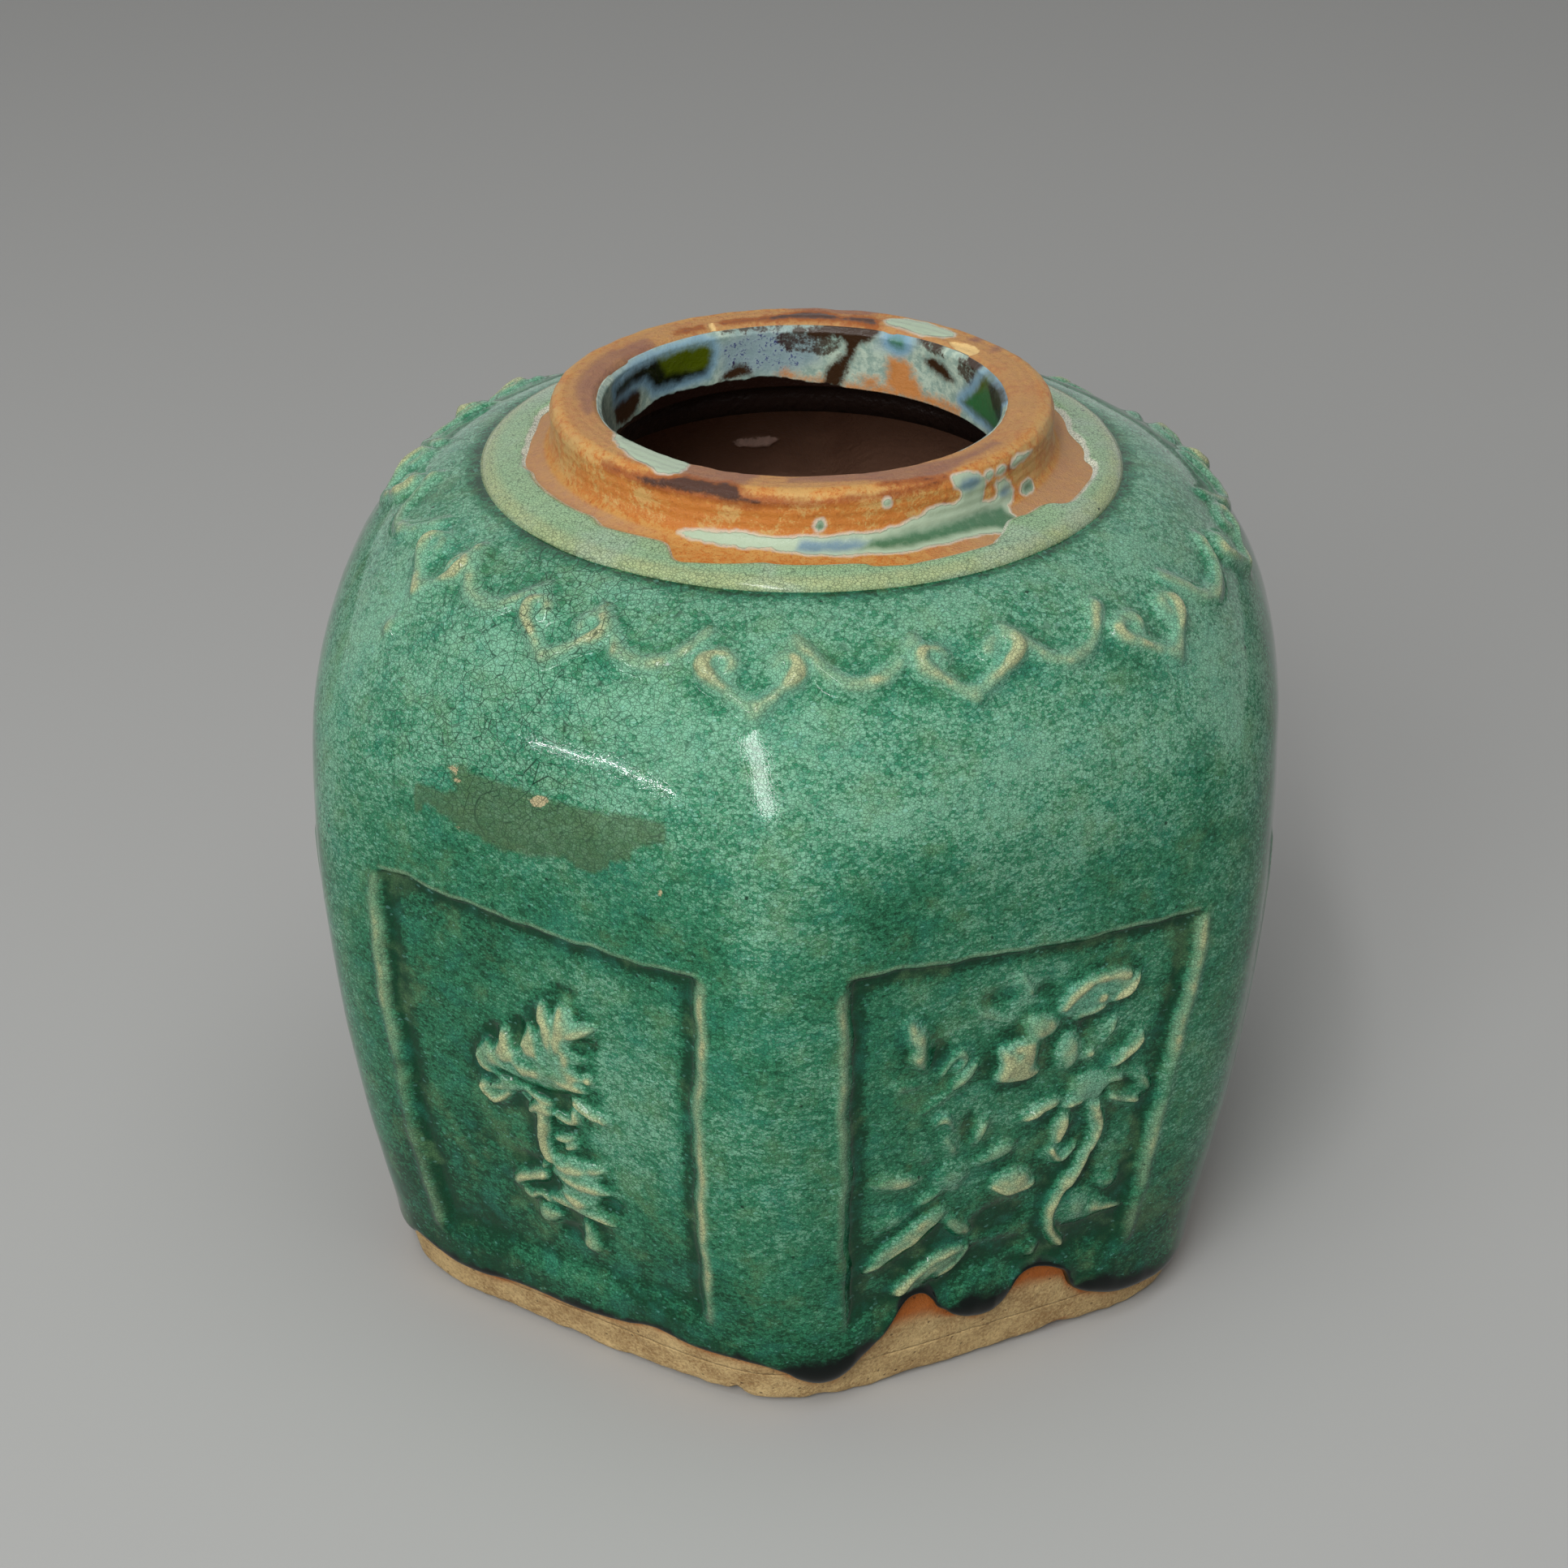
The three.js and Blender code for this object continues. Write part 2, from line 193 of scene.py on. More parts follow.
@dataclass(frozen=True)
class JarForm:
    """The jar's clay form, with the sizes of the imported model.

    The cross-section is a rounded hexagon, a p-norm of the distances along the three face
    normals. Its apothem follows a parabola up the wall and a superellipse over the
    shoulder, and its crispness falls to a circle at the flange.
    """

    height: float = 170.0
    foot_apothem: float = 75.7
    belly_apothem: float = 89.8
    belly_height: float = 117.0
    neck_height: float = 10.0
    flange_radius: float = 59.0
    flange_edge: float = 1.4
    flange_rise: float = 2.5
    neck_radius: float = 47.0
    mouth_radius: float = 38.0
    wall: float = 6.5
    hole_radius: float = 43.0
    wall_crispness: float = 13.5
    top_crispness: float = 4.0
    crisp_up_to: float = 78.0
    shoulder_power: float = 1.85

    @property
    def seat(self) -> float:
        """The height of the flange's seat on the shoulder."""
        return self.height - self.neck_height - self.flange_rise - self.flange_edge

    def crispness(self, height: np.ndarray) -> np.ndarray:
        """The power of the p-norm at a height: even up the wall, then down half a cosine.

        Args:
            height: Millimetres above the foot.

        Returns:
            The power.
        """
        share = np.clip((height - self.crisp_up_to) / (self.seat - self.crisp_up_to), 0, 1)
        spread = self.wall_crispness - self.top_crispness
        return self.top_crispness + spread * (1 + np.cos(np.pi * share)) / 2

    def hexagon(self, angle: np.ndarray, power: np.ndarray) -> np.ndarray:
        """The radius of a rounded hexagon of apothem 1 at an angle from its front corner.

        It is the root of a constant over the sum of the powers of the cosines to the three
        face normals. The constant makes the radius 1 in the middle of a face.

        Args:
            angle: Degrees from the front corner.
            power: The power of the p-norm.

        Returns:
            The radius.
        """
        total = sum(
            np.abs(np.cos(np.radians(angle - normal))) ** power for normal in (30, 90, 150)
        )
        return ((1 + 2 * 0.5**power) / total) ** (1 / power)

    @cached_property
    def neck_outline(self) -> np.ndarray:
        """The profile of the neck, a Catmull-Rom curve through its measured corners.

        Returns:
            Radius and height along the flange, the neck, its lip and the mouth.
        """
        root = self.height - self.neck_height
        edge = self.seat + self.flange_edge
        top = self.height
        return flowing(
            [
                (self.flange_radius, self.seat),
                (self.flange_radius + 0.3, self.seat + 0.5),
                (self.flange_radius - 0.3, edge),
                (self.flange_radius - 3, edge + 0.75),
                (self.neck_radius + 4, root - 0.8),
                (self.neck_radius + 1.4, root + 0.1),
                (self.neck_radius + 0.3, root + 1.4),
                (self.neck_radius - 0.1, root + 4),
                (self.neck_radius, top - 2.6),
                (self.neck_radius - 0.4, top - 1.1),
                (self.neck_radius - 1.4, top - 0.2),
                (self.neck_radius - 2.8, top),
                (self.mouth_radius + 2.2, top - 0.1),
                (self.mouth_radius + 0.6, top - 0.5),
                (self.mouth_radius, top - 1.6),
                (self.mouth_radius, top - 5),
                (self.mouth_radius, self.seat + 0.3),
            ],
            6,
        )

    @cached_property
    def outline(self) -> np.ndarray:
        """The clay's whole outline, on even steps of arc.

        The wall is a parabola, the shoulder a quarter of a superellipse, and the neck's curve
        follows. The normal is the outline's own direction turned by a right angle.

        Returns:
            Rows of arc, radius or apothem, height and the two parts of the outward normal.
        """
        low = np.linspace(0, self.belly_height, 1200)[:-1]
        below = 1 - low / self.belly_height
        lift = self.belly_apothem - self.foot_apothem
        wall = np.stack([self.belly_apothem - lift * below**2, low], 1)
        turn = np.linspace(0, np.pi / 2, 1200)[:-1]
        across = np.cos(turn) ** (2 / self.shoulder_power)
        upward = np.sin(turn) ** (2 / self.shoulder_power)
        reach = self.belly_apothem - self.flange_radius
        rise = self.seat - self.belly_height
        dome = np.stack(
            [self.flange_radius + reach * across, self.belly_height + rise * upward], 1
        )
        line = np.vstack([wall, dome, self.neck_outline])
        arc = np.r_[0, np.cumsum(np.hypot(*np.diff(line, axis=0).T))]
        steady = np.arange(0, arc[-1], 0.1)
        radius = np.interp(steady, arc, line[:, 0])
        height = np.interp(steady, arc, line[:, 1])
        out_r, out_z = np.gradient(height), -np.gradient(radius)
        size = np.hypot(out_r, out_z)
        return np.stack([steady, radius, height, out_r / size, out_z / size])

    @cached_property
    def seat_arc(self) -> float:
        """The arc at which the shoulder ends under the flange."""
        heights = self.outline[2]
        return float(self.outline[0][np.argmax(heights > self.seat - 0.01)])

    @property
    def end_arc(self) -> float:
        """The arc at the lower end of the mouth."""
        return float(self.outline[0][-1])

    def look_up(self, arc: np.ndarray, row: int) -> np.ndarray:
        """Reads one row of the outline at an arc."""
        return np.interp(arc, self.outline[0], self.outline[row])

    def height_at(self, arc: np.ndarray) -> np.ndarray:
        """The height at an arc."""
        return self.look_up(arc, 2)

    def arc_at(self, height: np.ndarray) -> np.ndarray:
        """The arc at a height of the wall or shoulder."""
        upto = self.outline[0] <= self.seat_arc
        return np.interp(height, self.outline[2][upto], self.outline[0][upto])

    def skin(self, angle: np.ndarray, arc: np.ndarray, push: np.ndarray | float) -> np.ndarray:
        """A point of the surface, pushed out square to the outline.

        Args:
            angle: Degrees from the front seam.
            arc: Millimetres along the outline.
            push: How far the point stands off the clay.

        Returns:
            The points, with x, y and z on the last axis.
        """
        height = self.height_at(arc)
        radius = self.look_up(arc, 1) * self.hexagon(angle, self.crispness(height))
        radius = radius + push * self.look_up(arc, 3)
        return turned(angle, radius, height + push * self.look_up(arc, 4))


def turned(
    angle: np.ndarray, radius: np.ndarray | float, height: np.ndarray | float
) -> np.ndarray:
    """Points at an angle from the front, a radius from the axis and a height.

    Args:
        angle: Degrees from the front seam.
        radius: Millimetres from the axis.
        height: Millimetres above the foot.

    Returns:
        The points, with x, y and z on the last axis.
    """
    turn = np.radians(angle)
    parts = np.broadcast_arrays(radius * np.sin(turn), -radius * np.cos(turn), height)
    return np.stack(parts, -1)


def round_angles(columns: int) -> np.ndarray:
    """Even angles over one full turn, without the last, which is the first again."""
    return np.arange(columns) * 360.0 / columns


def hoops(angle: np.ndarray, sizes: Sequence[Point]) -> np.ndarray:
    """Level rings of points, one row for each (radius, height)."""
    radius, height = np.array(sizes, float).T[..., None]
    return turned(angle[None, :], radius, height)


@dataclass(frozen=True)
class Patch:
    """A flat area: the corners of its outline, in order."""

    outline: tuple[Point, ...]

    def depth(self, across: np.ndarray, up: np.ndarray, unit: float = 1.0) -> np.ndarray:
        """How many millimetres a place lies inside the outline, up to DEEPEST either way.

        It is the distance to the nearest side, and negative where a ray from the place
        crosses the outline an even number of times.

        Args:
            across: Where each place lies across the outline's frame, or its angle.
            up: Where it lies up the frame.
            unit: The millimetres in one step across.

        Returns:
            The depth of each place.
        """
        corners = np.array(self.outline, float)
        middle = corners[:, 0].mean()
        corners[:, 0] = (corners[:, 0] - middle) * unit
        x = half_turn(across, middle) * unit
        low, high = corners.min(0) - DEEPEST, corners.max(0) + DEEPEST
        near = (x > low[0]) & (x < high[0]) & (up > low[1]) & (up < high[1])
        x, y = x[near], up[near]
        gap = np.full(x.shape, DEEPEST)
        inside = np.zeros(x.shape, bool)
        for start, end in zip(corners, np.roll(corners, -1, axis=0)):
            run = end - start
            share = ((x - start[0]) * run[0] + (y - start[1]) * run[1]) / (run @ run + 1e-9)
            share = np.clip(share, 0, 1)
            off = np.hypot(x - start[0] - share * run[0], y - start[1] - share * run[1])
            gap = np.minimum(gap, off)
            crosses = (start[1] > y) != (end[1] > y)
            slope = run[0] / run[1] if run[1] else 0.0
            inside ^= crosses & (x < start[0] + (y - start[1]) * slope)
        found = np.full(across.shape, -DEEPEST)
        found[near] = np.where(inside, gap, -gap)
        return found


def patch(*outline: Point) -> Patch:
    """An area inside some corners."""
    return Patch(outline)


def oval(across: float, up: float, half_width: float, half_height: float) -> Patch:
    """An oval area round a middle, as a polygon of twelve corners.

    Args:
        across: Where its middle lies across.
        up: Where its middle lies up.
        half_width: Half its width.
        half_height: Half its height.

    Returns:
        The area.
    """
    turns = [math.radians(30 * step) for step in range(12)]
    return patch(*(
        (across + half_width * math.cos(turn), up + half_height * math.sin(turn))
        for turn in turns
    ))


@dataclass(frozen=True)
class Mound:
    """A raised area with a round shoulder along its whole outline."""

    area: Patch
    rise: float
    shoulder: float = 0.75

    def press(self, across: np.ndarray, up: np.ndarray, relief: np.ndarray) -> None:
        """Raises a relief to this mound, steeply at its outline and level in its middle.

        Args:
            across: Where each place of the relief lies across the mound's frame.
            up: Where it lies up the frame.
            relief: The heights, which are changed in place.
        """
        depth = np.maximum(self.area.depth(across, up), 0)
        np.maximum(relief, self.rise * (1 - np.exp(-depth / self.shoulder)), out=relief)


@dataclass(frozen=True)
class Stroke:
    """A raised mark: a line through points, its half-width and how far it stands up.

    A leaf swells in its middle and runs out to two points. A line keeps its width.
    """

    points: tuple[Point, ...]
    half_width: float
    rise: float
    leaf: bool = True

    def press(self, across: np.ndarray, up: np.ndarray, relief: np.ndarray) -> None:
        """Raises a relief to this mark, whose section is a round ridge.

        Args:
            across: Where each place of the relief lies across the mark's frame.
            up: Where it lies up the frame.
            relief: The heights, which are changed in place.
        """
        path = flowing(self.points) if len(self.points) > 2 else np.array(self.points)
        low = path.min(0) - self.half_width * GLAZE_SWELL
        high = path.max(0) + self.half_width * GLAZE_SWELL
        near = (across > low[0]) & (across < high[0]) & (up > low[1]) & (up < high[1])
        x, y = across[near], up[near]
        share = np.linspace(0, 1, len(path))
        swell = np.sin(np.pi * np.clip(share, 0.04, 0.96)) ** 0.6 if self.leaf else share * 0 + 1
        width = self.half_width * swell * GLAZE_SWELL
        best = np.zeros_like(x)
        for start, end, here, there in zip(path[:-1], path[1:], width[:-1], width[1:]):
            along = end - start
            part = ((x - start[0]) * along[0] + (y - start[1]) * along[1]) / (along @ along + 1e-9)
            part = np.clip(part, 0, 1)
            gone = np.hypot(x - start[0] - part * along[0], y - start[1] - part * along[1])
            best = np.maximum(best, 1 - gone / (here + (there - here) * part))
        raised = self.rise * (1 - (1 - best) ** 2)
        relief[near] = np.maximum(relief[near], np.where(best > 0, raised, 0))


def mound(rise: float, *outline: Point) -> Mound:
    """A raised area inside some corners."""
    return Mound(Patch(outline), rise)


def leaf(half_width: float, rise: float, *points: Point) -> Stroke:
    """A leaf or petal through points."""
    return Stroke(points, half_width, rise)


def line(half_width: float, rise: float, *points: Point) -> Stroke:
    """A ridge of even width through points."""
    return Stroke(points, half_width, rise, leaf=False)


def bead(radius: float, rise: float, spot: Point) -> Stroke:
    """A small round bump."""
    return line(radius, rise, spot, (spot[0] + 0.1, spot[1]))


# The spray of pointed leaves round a curling stem, as (across, height) on its face
LEAF_SPRAY = (
    mound(
        1.5, (-23.8, 89.4), (-22.1, 87.9), (-20.1, 85.4), (-19.3, 83.4), (-19.5, 81),
        (-18.9, 77.9), (-19.1, 75.4), (-20.5, 76.2), (-22.4, 78.4), (-23.1, 80.7), (-22.4, 82.2),
        (-23.6, 84.4), (-24.1, 87.4),
    ),
    mound(
        0.6, (-26.2, 74.2), (-24.5, 75.2), (-21, 74.6), (-19.1, 73.4), (-20.5, 72.4),
        (-25.1, 72.5),
    ),
    line(0.6, 0.9, (-16.1, 74.4), (-14.5, 76.9), (-12.5, 78.4), (-11.5, 76.6), (-13, 74.7)),
    leaf(1.2, 1.1, (-13.9, 70.6), (-11.5, 72.8), (-9, 75.3)),
    leaf(0.9, 0.6, (-19.5, 66.7), (-16.5, 68.4), (-13.5, 70.4)),
    mound(0.4, (-27, 69.9), (-23.5, 70.8), (-20, 70.4), (-20.5, 68.7), (-25.5, 68.6)),
    mound(
        1.5, (-2, 93.4), (-0.5, 92.4), (0.9, 89.9), (2, 87.7), (1.7, 86.2), (0.6, 87),
        (-0.8, 89.6), (-1.6, 91.7),
    ),
    mound(
        1.1, (-11, 87.6), (-8.5, 86.8), (-5.5, 84.8), (-1.2, 82.6), (-1.5, 81.6), (-5.5, 82.8),
        (-9.1, 84.9), (-11, 86.4),
    ),
    mound(0.9, (-0.5, 81.4), (2.5, 82.6), (6, 81.7), (8, 79.4), (7, 77), (4, 76.2), (1, 77.9)),
    mound(
        0.65, (7.5, 81.9), (9, 84.9), (11.5, 87), (15.5, 88.1), (19, 87.7), (21.5, 86.2),
        (24.2, 85.8), (22, 83.6), (19, 81.3), (16.5, 80.2), (12.5, 79.4), (8.5, 79.7),
    ),
    line(0.9, 1.3, (8.1, 82.4), (10.1, 85.2), (13.5, 86.9), (17.5, 87.3), (21, 86.4)),
    line(0.7, 1.3, (11.5, 79.8), (14, 80.1), (16.1, 80.8)),
    leaf(0.9, 1.6, (18.1, 81.4), (20, 82.4), (22, 84), (23.9, 85.6)),
    bead(0.8, 1.5, (15.7, 82.9)),
    mound(
        1.2, (-4.9, 75.9), (-3.1, 77.8), (0.5, 78.8), (3.1, 77.6), (4, 74.9), (3.4, 71.9),
        (3.2, 69.6), (-0.5, 69.2), (-3.5, 69.5), (-4.8, 70.9), (-4.2, 73.2),
    ),
    line(0.9, 1.6, (-3.8, 76.4), (-3.2, 73.4), (-3.9, 71)),
    line(0.6, 1.5, (-4.1, 70.3), (-0.5, 69.9), (3.4, 70.1)),
    mound(
        0.9, (8.5, 76.6), (10.5, 76.6), (12.2, 74.4), (12.5, 70.9), (11.7, 68.4), (9.7, 67.7),
        (7.7, 69.2), (7.2, 72.4),
    ),
    mound(1.4, (8.9, 71.8), (10.8, 72), (11.3, 69.2), (9.9, 68), (8.7, 69.4)),
    mound(
        1.4, (19.6, 77.8), (20.3, 76.4), (19.8, 74.4), (18.2, 72), (17, 70.9), (17.2, 73.4),
        (18, 75.8),
    ),
    bead(1.0, 1.4, (14.7, 70.5)),
    mound(
        1.2, (26.3, 73.4), (26.7, 71.7), (24.9, 69.3), (22, 67.2), (19.3, 66), (20.9, 69),
        (23.5, 71.2),
    ),
    line(0.6, 1.5, (20.1, 66.4), (22.8, 68.3), (25.5, 70.8)),
    mound(
        1.4, (0.8, 59.3), (2.5, 60.7), (5, 62.2), (8, 62.5), (10.5, 61.3), (8.5, 60),
        (5.5, 59.3), (3, 58.4),
    ),
    line(0.6, 1.7, (2.3, 59.2), (3.7, 60), (5.3, 61)),
    mound(0.9, (10.5, 61.4), (13.3, 61.6), (13.7, 60), (11.1, 59.6)),
    line(0.6, 1.5, (11.1, 59.7), (13.5, 59.8)),
    mound(1.2, (15.5, 61.2), (17.9, 61), (18.5, 59.7), (16.1, 59.4)),
    leaf(0.7, 1.4, (19, 63.3), (21, 62.9), (22.9, 62)),
    line(0.55, 1.5, (20.5, 58.9), (22.5, 57.7), (24.5, 56.9), (26.3, 56.3)),
    mound(
        1.25, (24.5, 64.2), (26.7, 62.8), (29, 60.6), (30.2, 57.9), (29.2, 56.8), (27.5, 57.6),
        (26.4, 59.9), (24.9, 61.9),
    ),
    mound(
        1.6, (9.5, 58.2), (11.8, 57.8), (12, 55.4), (11.2, 52.9), (10.8, 50.7), (9.1, 50.6),
        (8.6, 53.4), (8.6, 56.6),
    ),
    line(0.6, 1.5, (8.7, 49.8), (9.7, 48), (11.1, 46.7), (12.4, 47.8), (13.8, 49.5)),
    line(0.45, 1.4, (16, 58.4), (17.1, 56.8), (17.7, 58)),
    mound(
        0.7, (11.5, 65.4), (15.5, 66.4), (19.5, 64.9), (20.5, 61.9), (18, 58.9), (14, 58.9),
        (11, 60.9),
    ),
    line(
        0.95, 1.5, (17.5, 56), (18.5, 52.9), (17.5, 48.9), (15.9, 44.9), (13.5, 40.9), (11, 37.8),
    ),
    line(0.9, 1.4, (11, 37.8), (10.2, 34.9), (10.4, 30.9), (11.7, 27.9), (13.5, 25.4)),
    mound(1.2, (12, 42.9), (14.2, 43.4), (14.3, 39.9), (11, 36.7), (9.5, 37.9)),
    mound(
        0.7, (11.5, 36.9), (14.5, 38.5), (18, 37.4), (20.5, 35.4), (23.1, 33.4), (25.1, 31.4),
        (27.5, 30), (22.5, 29.7), (17.5, 28.7), (13.5, 29.2), (11.5, 31.4), (10.9, 34.4),
    ),
    line(0.5, 1.2, (19.3, 32.1), (22.5, 31.1), (26.8, 30.3)),
    mound(0.9, (20.8, 37.9), (23, 39.7), (25.1, 37.4), (23.7, 35.4), (21.5, 36)),
    mound(0.8, (5.7, 23.9), (5.5, 26.4), (8, 28.4), (9.5, 26.4), (8.7, 23.4)),
    leaf(0.7, 1.2, (-16.5, 63.3), (-14.7, 64.3), (-12.5, 61.4)),
    mound(
        1.25, (-15.5, 61.6), (-13.5, 60.6), (-11.5, 57.6), (-11.3, 54.7), (-13.3, 55.7),
        (-14.7, 58.4),
    ),
    mound(
        1.5, (-5.5, 62.4), (-5.1, 60.4), (-6, 57.9), (-7.1, 55.2), (-8.5, 57.4), (-8, 59.9),
        (-6.8, 61.6),
    ),
    mound(0.8, (-20.7, 58), (-19, 58.7), (-17.3, 56.4), (-16.8, 54.7), (-19.1, 54.9)),
    mound(
        1.0, (-29.8, 53.8), (-25.5, 54.5), (-21.5, 53.6), (-17.9, 52.2), (-19.5, 50.3),
        (-23.5, 50.2), (-27.5, 51.4),
    ),
    mound(
        0.8, (-8.2, 52.2), (-4.5, 53.9), (-1.5, 55.3), (1.5, 54.3), (0.9, 51.8), (-2.5, 50.6),
        (-6.5, 50.4),
    ),
    mound(
        0.85, (-4.3, 45.8), (-1.5, 47.9), (1.5, 48.7), (4.6, 46.8), (6.1, 43.6), (4.5, 42.2),
        (1.5, 42), (-1, 43.5),
    ),
    line(0.6, 1.5, (-3.1, 44.8), (-0.5, 43.1), (2.5, 42.5), (5.7, 43.2)),
    leaf(1.0, 0.7, (-19.5, 45.2), (-17, 46.2), (-14, 47.6)),
    mound(0.5, (-28, 42.9), (-23.5, 45.7), (-19.5, 43.9), (-22.5, 40.9), (-26.5, 40.4)),
    mound(
        0.9, (-13.5, 43.6), (-11.3, 41.7), (-14.5, 38.7), (-19.5, 35.6), (-24.5, 32.9),
        (-28.8, 31.9), (-27.1, 36.1), (-22.5, 39.6), (-17.5, 42.6),
    ),
    line(0.6, 1.3, (-14.5, 40.4), (-19.5, 36.7), (-24.5, 33.7), (-28.3, 32.4)),
    mound(
        1.1, (-12.9, 41.1), (-10, 39.9), (-7.4, 37.5), (-5.8, 34.9), (-7.5, 33.9), (-10.1, 35.2),
        (-12.2, 37.9),
    ),
    mound(
        0.8, (-21.8, 24.2), (-18.5, 28.1), (-15.1, 31.3), (-11, 32.9), (-7.3, 32.2),
        (-6.3, 30.4), (-8.5, 28.2), (-12, 25.9), (-15.5, 24.6), (-19, 23.7),
    ),
    line(0.9, 1.4, (-20.8, 24.8), (-17.3, 28.6), (-13.5, 31.4), (-8.5, 31.8)),
    line(0.7, 1.2, (-7.1, 31.2), (-8.9, 28.4), (-12.7, 26)),
    mound(
        0.5, (-16.5, 51.4), (-13.5, 53.9), (-9.5, 52.9), (-8, 49.4), (-10.5, 45.9),
        (-14.5, 46.9),
    ),
)

# The upright spray with one full blossom, a stem and a tuft of leaves at its foot
BLOSSOM_SPRAY = (
    mound(
        1.05, (-13.2, 67.4), (-12.5, 69.9), (-10.7, 70.7), (-9.7, 69.9), (-8.6, 71.4),
        (-8.2, 73.7), (-7, 74.6), (-5.2, 74.4), (-4.7, 72), (-3.2, 72.6), (-2.5, 75.2),
        (-1.6, 77.6), (-0.5, 78.3), (1, 77), (1.8, 79), (1.9, 82.2), (2.8, 83.3), (3.9, 82.6),
        (4.8, 81.3), (5.5, 83.6), (6.9, 84.4), (9.2, 84.2), (9.9, 81.3), (11.3, 81.7),
        (13.5, 82), (13.8, 81), (11.5, 79.6), (9.7, 78.6), (9.2, 75.6), (11.5, 74), (11.7, 72.3),
        (9.2, 71.8), (10.2, 70.5), (12.3, 70.2), (12.3, 68.6), (9.7, 68.1), (11.3, 67),
        (11.2, 65.7), (8.3, 65.4), (5.3, 64.2), (2.4, 63.4), (-0.7, 63.4), (-3.6, 64),
        (-7.7, 64.6), (-10.7, 64.2), (-12.5, 64.9),
    ),
    line(0.8, 1.6, (2.6, 82.4), (2.6, 80)),
    leaf(1.1, 1.9, (-1.8, 73.4), (-0.6, 74.6), (0.5, 76)),
    leaf(1.1, 1.8, (-6.5, 68.7), (-5.2, 69.6), (-4.2, 70.7)),
    line(0.8, 1.5, (-12.7, 67.4), (-12.2, 65.4), (-10.8, 64.2)),
    leaf(1.1, 1.8, (8.8, 78.4), (11.3, 80.2), (13.9, 81.6)),
    leaf(1.0, 1.5, (7.8, 71.5), (7.7, 73.4), (7.3, 75.2)),
    bead(0.9, 1.7, (11.7, 69.4)),
    leaf(1.3, 1.45, (6.9, 84.1), (6.8, 79.4), (5.9, 74.4)),
    leaf(1.1, 1.4, (3.6, 81.4), (3.9, 77.4), (4.8, 72.4)),
    leaf(1.2, 1.4, (-0.5, 77.8), (0.7, 73.4), (2.8, 68.9)),
    leaf(1.3, 1.4, (-7, 74.2), (-5.5, 70.4), (-2.1, 66.4)),
    leaf(1.2, 1.35, (-11.2, 70.2), (-8.7, 67.4), (-4.7, 65.4)),
    leaf(1.0, 1.3, (10.9, 66.4), (7.3, 67), (3.4, 68)),
    line(0.8, 1.1, (-10.5, 64), (-7.2, 63), (-3.6, 62.8), (-0.5, 61.6), (2.6, 61)),
    leaf(1.2, 1.0, (-10.1, 61.2), (-5.7, 62), (-1.6, 62.8)),
    line(0.65, 1.5, (8.2, 63.3), (9.9, 62.3), (11.8, 61.4), (13.3, 61.5), (14.4, 60.7)),
    mound(
        0.9, (-13.7, 60), (-11.2, 60.6), (-8.7, 61.2), (-6.5, 60.2), (-8.1, 58.3), (-10.2, 56.9),
        (-12.8, 58.5),
    ),
    line(0.6, 1.7, (-13.2, 59.8), (-11.5, 58), (-9.8, 57.3)),
    line(0.55, 1.7, (-9.8, 57.3), (-7.9, 58.8), (-6.7, 60.1)),
    line(0.5, 1.6, (-13.1, 60.1), (-10.2, 60.5), (-8.2, 61)),
    line(0.8, 1.4, (-2.4, 57.7), (-0.9, 59.2), (1, 59.6), (2.1, 58.8)),
    line(0.8, 1.5, (3.9, 58.6), (5.9, 58), (7.8, 58.8), (7.7, 60.3)),
    line(1.35, 1.6, (0.7, 57.4), (0.3, 54.9), (-0.2, 52.4), (0.2, 49.7), (0.7, 48)),
    mound(1.5, (-2.5, 44.6), (-1.1, 46.2), (0.2, 46), (-0.5, 44.2), (-1.9, 43.4)),
    line(1.0, 1.3, (-1.5, 42.4), (-4.2, 41.1), (-6.7, 40), (-8.4, 38.4)),
    mound(1.4, (-9.3, 39), (-7.2, 40), (-6.7, 38.4), (-8.2, 36.4), (-9.6, 36)),
    line(0.6, 1.3, (-6.7, 36.8), (-5.2, 35.8), (-3.9, 37), (-2.5, 37.4), (-1.1, 36.6)),
    mound(
        1.0, (-5, 33), (-4, 35), (-1.5, 35.4), (2, 34), (1.1, 32.2), (-0.7, 30.8), (-2.5, 30.2),
        (-4, 30.7),
    ),
    mound(1.6, (-4.9, 32.6), (-3.4, 33), (-1.2, 31.4), (-2, 30.3), (-3.6, 30.6)),
    mound(
        1.5, (5.8, 35.4), (7.9, 34.6), (9.2, 30.9), (10.2, 28.4), (8.9, 27), (6.3, 27.2),
        (4.8, 28.7), (5.9, 31.2),
    ),
    mound(
        0.85, (1, 47.4), (2.4, 49.4), (5.3, 50.4), (8.3, 49.6), (13.2, 49.2), (11.9, 46.6),
        (11.3, 45.2), (13.9, 43.4), (11.5, 41.6), (10.8, 39.8), (11.3, 37.9), (14.3, 36.4),
        (13.8, 35.4), (10.3, 36.6), (7.3, 36.4), (2.9, 35.7), (-1.6, 35.4), (-3.6, 36.9),
        (0.3, 39.4), (2.4, 41.4), (-0.2, 43.9), (0.5, 45.9),
    ),
    leaf(0.9, 1.3, (2.4, 53), (4.8, 53.6), (7.1, 54.4)),
    leaf(0.8, 1.1, (4.5, 51.2), (6.1, 52), (7.3, 52.6)),
    leaf(1.0, 1.3, (2.4, 46.4), (7.3, 47), (12.8, 48.8)),
    leaf(1.2, 1.25, (2.4, 44.4), (7.3, 43.8), (13.3, 43.4)),
    leaf(1.1, 1.25, (2.4, 40.9), (6.3, 39.4), (10.3, 40)),
    leaf(1.2, 1.2, (-0.7, 37.9), (5.3, 37.4), (13.8, 35.8)),
    leaf(0.6, 0.8, (-8.7, 48.4), (-6.2, 48)),
)

